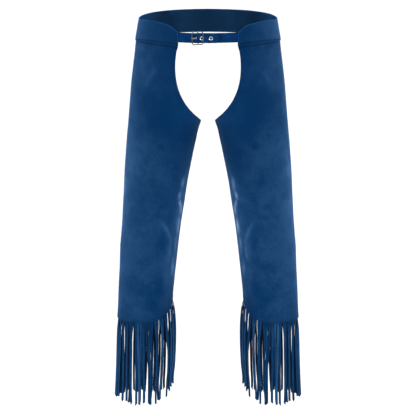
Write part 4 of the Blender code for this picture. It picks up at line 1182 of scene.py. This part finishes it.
class Cuttings:
    """The points and faces of a leg's fringe, as they are cut."""

    def __init__(self):
        self.points, self.layout, self.states, self.faces, self.kinds = [], [], [], [], []

    def add_points(self, points, layout, *state):
        """Adds points with one nap, painted sheen and painted shade, and returns the first's
        number.
        """
        self.points.extend(points)
        self.layout.extend(layout)
        self.states.extend([state] * len(points))
        return len(self.points) - len(points)

    def add_face(self, corners, kind):
        """Adds a face and its material slot."""
        self.faces.append(corners)
        self.kinds.append(kind)


def cut_strip(cuttings, face):
    """The strip behind the hem."""
    cells = STRIP_CELLS * STRANDS
    lines = []
    for out in (face, face - FRINGE_WALL):
        for k in range(STRIP_ROWS + 1):
            lift = STRIP_HEIGHT - (STRIP_HEIGHT + STRIP_DROP) * k / STRIP_ROWS
            flat = [(j * STRIP_CELL, lift) for j in range(cells + 1)]
            lines.append(cuttings.add_points(strip_row(lift, out, cells), flat, *STRIP_STATE))
    front, back = lines[:STRIP_ROWS + 1], lines[STRIP_ROWS + 1:]
    for layer, rows in enumerate((front, back)):
        for upper, lower in zip(rows, rows[1:]):
            for j in range(cells):
                quad = (upper + j, upper + j + 1, lower + j + 1, lower + j)
                cuttings.add_face(quad if layer else quad[::-1], layer)
    for a, b in ((front[0], back[0]), (front[-1], back[-1])):
        for j in range(cells):
            cuttings.add_face((a + j, a + j + 1, b + j + 1, b + j), 2)
    for j in (0, cells):
        for k in range(STRIP_ROWS):
            cuttings.add_face((front[k] + j, front[k + 1] + j, back[k + 1] + j, back[k] + j), 2)


def cut_strands(cuttings, face, width):
    """The strands below the strip."""
    front, back = (strip_row(-STRIP_DROP, out, STRANDS) for out in (face, face - FRINGE_WALL))
    count = len(STRAND_SECTION)
    for j, strand in enumerate(strand_shapes(STRANDS)):
        root = (front[j] + front[j + 1] + back[j] + back[j + 1]) / 4
        tangent = front[j + 1] - front[j]
        tangent[2] = 0.0
        tangent = unit(tangent)
        normal = np.array([-tangent[1], tangent[0], 0.0])
        if normal @ (front[j] - back[j]) < 0:
            normal = -normal
        root = root + np.array([0.0, 0.0, STRAND_ROOT])
        rings = []
        for share in np.linspace(0.0, 1.0, STRAND_CELLS + 1):
            flat = [(j * STRAND_SPACE + (inset if way < 0 else width - inset),
                     -STRAND_LENGTH * share) for way, inset, _, _ in STRAND_SECTION]
            # painted shade at the strand's root, under the hem
            seam = STRAND_ROOT_SHADE * (1 - smooth_step(0.0, STRAND_ROOT_SHADE_END, share))
            rings.append(cuttings.add_points(
                strand_ring(root, tangent, normal, strand, share, width), flat, strand.nap,
                strand.brushed, seam))
        cuttings.add_face(tuple(range(rings[0], rings[0] + count)), 2)
        for upper, lower in zip(rings, rings[1:]):
            for k, (_, _, _, kind) in enumerate(STRAND_SECTION):
                m = (k + 1) % count
                cuttings.add_face((upper + k, upper + m, lower + m, lower + k), kind)
        cuttings.add_face(tuple(range(rings[-1], rings[-1] + count))[::-1], 2)


def cut_fringe(label, side, materials, width):
    """One strip behind the hem, cut into strands below it."""
    cuttings = Cuttings()
    cut_strip(cuttings, INNER_FACE - SEAM)
    cut_strands(cuttings, INNER_FACE - SEAM, width)
    placed = mirrored(np.array(cuttings.points), side) * MM
    fringe = add_piece("fringe_strands_" + label, placed.tolist(), cuttings.faces, materials)
    fringe.data.polygons.foreach_set("material_index", cuttings.kinds)
    nap, brushed, seam = zip(*cuttings.states)
    write_cut(fringe.data, np.array(cuttings.layout, float) * MM,
              from_edge=np.full(len(placed), STRAND_FROM_EDGE * MM), nap=nap, brushed=brushed,
              seam=seam)
    finish_cut(fringe)
    return fringe


# ---------------------------------------------------------------- sewing
def model_stitch(length, thickness):
    """One stitch lying along X: a short thread whose ends dip into the leather."""
    deselect_all()
    bpy.ops.mesh.primitive_cylinder_add(vertices=6, radius=thickness / 2 * MM,
                                        depth=length * STITCH_STRAIGHT * MM,
                                        rotation=(0.0, math.pi / 2, 0.0))
    stitch = bpy.context.active_object
    bpy.ops.object.transform_apply(location=True, rotation=True, scale=True)
    on, down = STITCH_END
    for way in (-1, 1):
        bpy.ops.object.mode_set(mode="EDIT")
        bpy.ops.mesh.select_all(action="DESELECT")
        bpy.ops.object.mode_set(mode="OBJECT")
        for polygon in stitch.data.polygons:
            polygon.select = polygon.normal.x * way > 0.9
        bpy.ops.object.mode_set(mode="EDIT")
        bpy.ops.mesh.extrude_region_move(TRANSFORM_OT_translate={
            "value": (way * length * on * MM, 0.0, -thickness * down * MM)})
        bpy.ops.transform.resize(value=STITCH_TAPER)
        bpy.ops.object.mode_set(mode="OBJECT")
    return stitch


def sew(name, rows, pattern, material):
    """Copies one stitch along rows of (point, direction along, direction out)."""
    count = len(pattern.data.vertices)
    local = np.zeros(count * 3)
    pattern.data.vertices.foreach_get("co", local)
    local = local.reshape(-1, 3)
    cells = [tuple(p.vertices) for p in pattern.data.polygons]
    points, faces = [], []
    for row in rows:
        for point, along, out in row:
            turn = np.stack([along, np.cross(out, along), out])
            base = len(points) * count
            points.append(local @ turn + point * MM)
            faces.extend(tuple(base + v for v in cell) for cell in cells)
    obj = add_piece(name, np.concatenate(points).tolist(), faces, [material])
    face_outwards(obj)
    return obj


def seam_row(angles, heights, out, pitch, side):
    """Stitches at even steps along a line on the form."""
    line = on_form(angles, heights, out)
    gone = walked(line)
    number = max(int(gone[-1] / pitch), 1)
    stops = (np.arange(number) + 0.5) * gone[-1] / number
    a, h = np.interp(stops, gone, angles), np.interp(stops, gone, heights)
    ahead, back = (np.stack([np.interp(stops + step, gone, line[:, k]) for k in range(3)],
                            axis=-1) for step in (0.5, -0.5))
    along = unit(ahead - back)
    straight_out = outward(a, h)
    straight_out = unit(straight_out - along * np.sum(straight_out * along, axis=-1,
                                                      keepdims=True))
    return [tuple(mirrored(np.array(v), side) for v in place)
            for place in zip(on_form(a, h, out), along, straight_out)]


def leg_rows(pitch, side):
    """All rows of stitches on one leg, its yoke and its half of the straps."""
    on_leg = INNER_FACE + LEATHER + THREAD_OUT
    on_yoke = YOKE_FACE + YOKE_WALL + THREAD_OUT
    first = float(edge_angle(FRONT_REACH(GROOVE_FRONT), GROOVE_FRONT)) - GROOVE_END
    groove = np.linspace(first, -SIDE_BACK_SEAM + GROOVE_END, GROOVE_POINTS)
    hem = np.linspace(HEM_ROW_END, -HEM_ROW_END, HEM_POINTS)
    down = np.linspace(CROTCH - INSEAM_ROW_ENDS[0], HEM + HEM_RISE + INSEAM_ROW_ENDS[1],
                       INSEAM_POINTS)
    beside = 180 - half_seam_angle(down) - np.degrees(INSEAM_ROW / DEPTH(down))
    held = np.linspace(STRAP_MIDDLE - STRAP_HOLD, STRAP_MIDDLE + STRAP_HOLD, HOLD_POINTS)
    lines = [(groove, WAIST_BOTTOM(groove) + seam_lift(groove), on_yoke - GROOVE_DEPTH)]
    lines += [(hem, hem_height(hem) + lift, on_leg) for lift in HEM_ROWS]
    lines += [(way * beside, down, on_leg) for way in (-1, 1)]
    lines += [(edge_angle(FRONT_REACH(held) + inset, held), held, on_yoke)
              for inset in STRAP_ROWS]
    return [seam_row(*line, pitch, side) for line in lines]


# ---------------------------------------------------------------- settings
class ChapsLeather(bpy.types.PropertyGroup):
    """Colours and finish of the leather."""

    face_colour: FloatVectorProperty(
        name="Face", description="Colour of the napped face", subtype="COLOR",
        default=(0.0002, 0.0236, 0.088), min=0.0, max=1.0)
    strap_colour: FloatVectorProperty(
        name="Straps", description="Colour of the straps' smoother face", subtype="COLOR",
        default=(0.0012, 0.0325, 0.130), min=0.0, max=1.0)
    # its lightness partly stands for painted light, which the nap value carries
    raised_and_lit_colour: FloatVectorProperty(
        name="Raised nap", description="Colour where the nap stands up", subtype="COLOR",
        default=(0.0086, 0.0455, 0.1220), min=0.0, max=1.0)
    flesh_colour: FloatVectorProperty(
        name="Flesh side", description="Colour of the inner side", subtype="COLOR",
        default=(0.0085, 0.038, 0.098), min=0.0, max=1.0)
    edge_colour: FloatVectorProperty(
        name="Cut edge", description="Colour of the raw cut edges", subtype="COLOR",
        default=(0.0018, 0.016, 0.050), min=0.0, max=1.0)
    # painted sheen: the colours that the nap is blended towards by the lit value
    sheen_glow_colour: FloatVectorProperty(
        name="Brushed", description="Tint that the nap takes on as it is brushed up",
        subtype="COLOR", default=(0.032, 0.165, 0.44), min=0.0, max=1.0)
    sheen_bright_colour: FloatVectorProperty(
        name="Brushed right up", description="Colour where the nap is brushed right up",
        subtype="COLOR", default=(0.27, 0.38, 0.50), min=0.0, max=1.0)
    sheen_colour: FloatVectorProperty(
        name="Sheen", description="Tint of the nap's sheen", subtype="COLOR",
        default=(0.15, 0.42, 0.9), min=0.0, max=1.0)
    sheen: FloatProperty(
        name="Sheen weight", description="How strongly the nap shines at its edges",
        subtype="FACTOR", default=0.19, min=0.0, max=1.0)
    sheen_spread: FloatProperty(
        name="Sheen spread", description="How far the sheen spreads in from the edges",
        subtype="FACTOR", default=0.47, min=0.0, max=1.0)
    mottle: FloatProperty(
        name="Mottle", description="How uneven the brushed nap looks", subtype="FACTOR",
        default=1.0, min=0.0, max=2.0)
    roughness: FloatProperty(
        name="Roughness", description="Roughness of the napped face", subtype="FACTOR",
        default=0.85, min=0.1, max=1.0)


class ChapsFringe(bpy.types.PropertyGroup):
    """Sizes of the fringe."""

    strand_width: FloatProperty(
        name="Strand width", description="Width of a strand at its root",
        unit="LENGTH", default=0.0066, min=0.002, max=0.012)


class ChapsSewing(bpy.types.PropertyGroup):
    """Sizes and colour of the sewing."""

    thread_colour: FloatVectorProperty(
        name="Thread", description="Colour of the sewing thread", subtype="COLOR",
        default=(0.0010, 0.0240, 0.080), min=0.0, max=1.0)
    stitch_length: FloatProperty(
        name="Stitch length", description="Length of one stitch on the face",
        unit="LENGTH", default=0.0034, min=0.001, max=0.01)
    stitch_pitch: FloatProperty(
        name="Stitch pitch", description="Distance from one stitch to the next",
        unit="LENGTH", default=0.0042, min=0.002, max=0.012)
    thread_thickness: FloatProperty(
        name="Thread thickness", description="Thickness of the sewing thread",
        unit="LENGTH", default=0.0008, min=0.0003, max=0.002)


class ChapsHardware(bpy.types.PropertyGroup):
    """Colour and polish of the buckle and the eyelets."""

    # dark plating, with a blue tint that is a painted reflection of the leather round it
    buckle_colour: FloatVectorProperty(
        name="Buckle", description="Colour of the buckle's plating", subtype="COLOR",
        default=(0.095, 0.112, 0.145), min=0.0, max=1.0)
    prong_colour: FloatVectorProperty(
        name="Prong", description="Colour of the prong's plating", subtype="COLOR",
        default=(0.38, 0.38, 0.40), min=0.0, max=1.0)
    eyelet_colour: FloatVectorProperty(
        name="Eyelets", description="Colour of the eyelets' plating", subtype="COLOR",
        default=(0.62, 0.62, 0.64), min=0.0, max=1.0)
    polish: FloatProperty(
        name="Roughness", description="Roughness of the plating", subtype="FACTOR",
        default=0.2, min=0.02, max=1.0)


class ChapsStage(bpy.types.PropertyGroup):
    """Floor, light and camera."""

    floor_colour: FloatVectorProperty(
        name="Floor", description="Colour of the floor", subtype="COLOR",
        default=(0.93, 0.93, 0.93), min=0.0, max=1.0)
    floor_gap: FloatProperty(
        name="Floor gap", description="Distance from the lowest strand down to the floor",
        unit="LENGTH", default=0.25, min=0.0, max=1.0)
    camera_distance: FloatProperty(
        name="Camera distance", description="Distance from the camera to the origin's plane",
        unit="LENGTH", default=7.5, min=1.0, max=50.0)
    camera_height: FloatProperty(
        name="Camera height", description="Height of the camera over the origin",
        unit="LENGTH", default=1.0, min=-5.0, max=20.0)
    camera_tilt: FloatProperty(
        name="Camera tilt", description="Angle of the view below the horizon",
        subtype="ANGLE", default=math.radians(11.089))
    focal_length: FloatProperty(
        name="Focal length", description="Focal length in millimetres",
        default=249.577, min=20.0, max=1000.0)
    sky_strength: FloatProperty(
        name="Surrounding light", description="Strength of the even light all round",
        default=0.22, min=0.0, max=10.0)
    overhead_strength: FloatProperty(
        name="Overhead light", description="Strength of the wide soft light from above",
        default=3.0, min=0.0, max=50.0)
    front_power: FloatProperty(
        name="Low lights", description="Power of the two low soft lights in front",
        unit="POWER", default=14.0, min=0.0, max=5000.0)
    side_power: FloatProperty(
        name="Side lights", description="Power of the two tall soft lights at the sides",
        unit="POWER", default=10.0, min=0.0, max=5000.0)


# ---------------------------------------------------------------- operators
def leather_set(settings, title, smooth=False, flesh=1.0, edge=1.0):
    """Face, flesh side and cut edge of one piece."""
    face = smooth_leather if smooth else nubuck
    return [face(title + "_face", settings), flesh_side(title + "_flesh", settings, flesh),
            cut_edge(title + "_edge", settings, edge)]


def dress(piece, *nodes):
    """The piece rides on the part and stands for its plain solids, which are hidden."""
    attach(piece, "root")
    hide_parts(*nodes)


class ChapsCutLegs(bpy.types.Operator):
    """Cut both leg panels, with their folds"""

    bl_idname = "chaps.cut_legs"
    bl_label = "Leg panels"

    def execute(self, context):
        materials = leather_set(context.scene.chaps_leather, "leg")
        for label, side in SIDES:
            dress(cut_leg(label, side, materials), "leg_" + label)
        return {"FINISHED"}


class ChapsCutWaist(bpy.types.Operator):
    """Cut both yokes and the back waistband"""

    bl_idname = "chaps.cut_waist"
    bl_label = "Yokes and waistband"

    def execute(self, context):
        materials = leather_set(context.scene.chaps_leather, "yoke", edge=YOKE_EDGE_HIGHLIGHT)
        for label, side in SIDES:
            dress(cut_yoke(label, side, materials), "yoke_" + label)
        dress(cut_band(materials), "back_band")
        return {"FINISHED"}


class ChapsCutStraps(bpy.types.Operator):
    """Cut both straps, with the slot and the holes"""

    bl_idname = "chaps.cut_straps"
    bl_label = "Straps"

    def execute(self, context):
        materials = leather_set(context.scene.chaps_leather, "strap", smooth=True)
        dress(cut_tip_strap(materials), "strap_tip")
        dress(cut_buckle_strap(materials), "strap_buckle")
        return {"FINISHED"}


class ChapsCutFringe(bpy.types.Operator):
    """Cut the fringe of both hems"""

    bl_idname = "chaps.cut_fringe"
    bl_label = "Fringe"

    def execute(self, context):
        materials = leather_set(context.scene.chaps_leather, "fringe", flesh=FRINGE_FLESH_SHADE)
        width = context.scene.chaps_fringe.strand_width / MM
        for label, side in SIDES:
            dress(cut_fringe(label, side, materials, width), "fringe_" + label)
        return {"FINISHED"}


class ChapsSew(bpy.types.Operator):
    """Sew the yokes, hems, inseams and straps"""

    bl_idname = "chaps.sew"
    bl_label = "Sewing"

    def execute(self, context):
        settings = context.scene.chaps_sewing
        thread = sewing_thread("thread", tuple(settings.thread_colour))
        pattern = model_stitch(settings.stitch_length / MM, settings.thread_thickness / MM)
        for label, side in SIDES:
            rows = leg_rows(settings.stitch_pitch / MM, side)
            sewing = sew("stitches_leg_" + label, rows, pattern, thread)
            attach(sewing, "root")
        bpy.data.objects.remove(pattern, do_unlink=True)
        return {"FINISHED"}


class ChapsFinishHardware(bpy.types.Operator):
    """Plate the buckle, its prong and the eyelets"""

    bl_idname = "chaps.finish_hardware"
    bl_label = "Buckle and eyelets"

    def execute(self, context):
        hardware = context.scene.chaps_hardware
        for title, nodes in (("buckle", ["buckle_frame"]), ("prong", ["buckle_prong"]),
                             ("eyelet", ["eyelet_1", "eyelet_2"])):
            colour = getattr(hardware, title + "_colour")
            plating = plated_wire(title + "_plating", tuple(colour), hardware.polish)
            for name in nodes:
                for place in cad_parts[name].material_slots:
                    place.material = plating
        return {"FINISHED"}


def add_backing(name, material):
    """Names the mesh that was just added, applies its place and gives it its material."""
    backing = bpy.context.active_object
    backing.name = name
    bpy.ops.object.transform_apply(location=True, rotation=True, scale=True)
    backing.data.materials.append(material)
    return backing


def add_light(name, location, aim, size, power):
    """A soft rectangular light that the camera doesn't see."""
    deselect_all()
    bpy.ops.object.light_add(type="AREA", location=location)
    light = bpy.context.active_object
    light.name = name
    light.data.shape = "RECTANGLE"
    light.data.size, light.data.size_y = size
    light.data.energy = power
    light.visible_camera = False
    direction = Vector(aim) - Vector(location)
    light.rotation_euler = direction.to_track_quat("-Z", "Y").to_euler()


class ChapsSetStage(bpy.types.Operator):
    """Lay the floor and set the light and the camera"""

    bl_idname = "chaps.set_stage"
    bl_label = "Stage"

    def execute(self, context):
        stage = context.scene.chaps_stage
        floor_height = PLAIN_BOX[0].z - stage.floor_gap
        deselect_all()
        bpy.ops.mesh.primitive_plane_add(size=FLOOR_SIZE, location=(0.0, 0.0, floor_height))
        floor = add_backing("floor", studio_floor("floor", stage))
        bpy.ops.mesh.primitive_cylinder_add(
            vertices=96, radius=BACKDROP_RADIUS, depth=BACKDROP_HEIGHT,
            end_fill_type="NOTHING",
            location=(0.0, 0.0, floor_height + BACKDROP_HEIGHT / 2))
        backdrop = add_backing("backdrop", studio_backdrop("backdrop"))
        # the backdrop only fills the view above the floor, and gives no light
        backdrop.visible_diffuse = backdrop.visible_glossy = False
        backdrop.visible_transmission = backdrop.visible_shadow = False

        bpy.ops.object.light_add(type="SUN", location=(0.0, 0.0, 4.0))
        overhead = context.active_object
        overhead.name = "overhead_light"
        overhead.data.angle = math.radians(OVERHEAD_SPREAD)
        overhead.data.energy = stage.overhead_strength
        for title, (aside, back, up), aim, size, power in SOFT_LIGHTS:
            for name, way in (("right_", -1), ("left_", 1)):
                add_light(name + title, (way * aside, back, up), aim, size,
                          getattr(stage, power))

        world = bpy.data.worlds.new("studio")
        world.use_nodes = True
        background = world.node_tree.nodes["Background"]
        background.inputs["Color"].default_value = (1.0, 1.0, 1.0, 1.0)
        background.inputs["Strength"].default_value = stage.sky_strength
        context.scene.world = world
        context.scene.view_settings.view_transform = "Standard"

        bpy.ops.object.camera_add(
            location=(0.0, -stage.camera_distance, stage.camera_height),
            rotation=(math.pi / 2 - stage.camera_tilt, 0.0, 0.0))
        camera = context.active_object
        camera.data.sensor_width = 36.0
        camera.data.lens = stage.focal_length
        context.scene.camera = camera
        return {"FINISHED"}


# ---------------------------------------------------------------- panel and registering
SETTINGS = {
    "chaps_leather": ChapsLeather,
    "chaps_fringe": ChapsFringe,
    "chaps_sewing": ChapsSewing,
    "chaps_hardware": ChapsHardware,
    "chaps_stage": ChapsStage,
}
STEPS = (ChapsCutLegs, ChapsCutWaist, ChapsCutStraps, ChapsCutFringe, ChapsSew,
         ChapsFinishHardware, ChapsSetStage)


class ChapsPanel(bpy.types.Panel):
    """The workbench in the 3D view's sidebar"""

    bl_idname = "VIEW3D_PT_chaps"
    bl_label = "Leather chaps"
    bl_space_type = "VIEW_3D"
    bl_region_type = "UI"
    bl_category = "Chaps"

    def draw(self, context):
        for name, group in SETTINGS.items():
            box = self.layout.box()
            settings = getattr(context.scene, name)
            for key in group.__annotations__:
                box.prop(settings, key)
        for step in STEPS:
            self.layout.operator(step.bl_idname)


def register():
    """Registers the add-on's classes and settings."""
    for group in (*SETTINGS.values(), *STEPS, ChapsPanel):
        bpy.utils.register_class(group)
    for name, group in SETTINGS.items():
        setattr(bpy.types.Scene, name, PointerProperty(type=group))


def unregister():
    """Takes them out again."""
    for name in SETTINGS:
        delattr(bpy.types.Scene, name)
    for group in reversed((*SETTINGS.values(), *STEPS, ChapsPanel)):
        bpy.utils.unregister_class(group)


def main():
    """Makes the chaps."""
    register()
    bpy.ops.chaps.cut_legs()
    bpy.ops.chaps.cut_waist()
    bpy.ops.chaps.cut_straps()
    bpy.ops.chaps.cut_fringe()
    bpy.ops.chaps.sew()
    bpy.ops.chaps.finish_hardware()
    bpy.ops.chaps.set_stage()


if __name__ == "__main__":
    main()
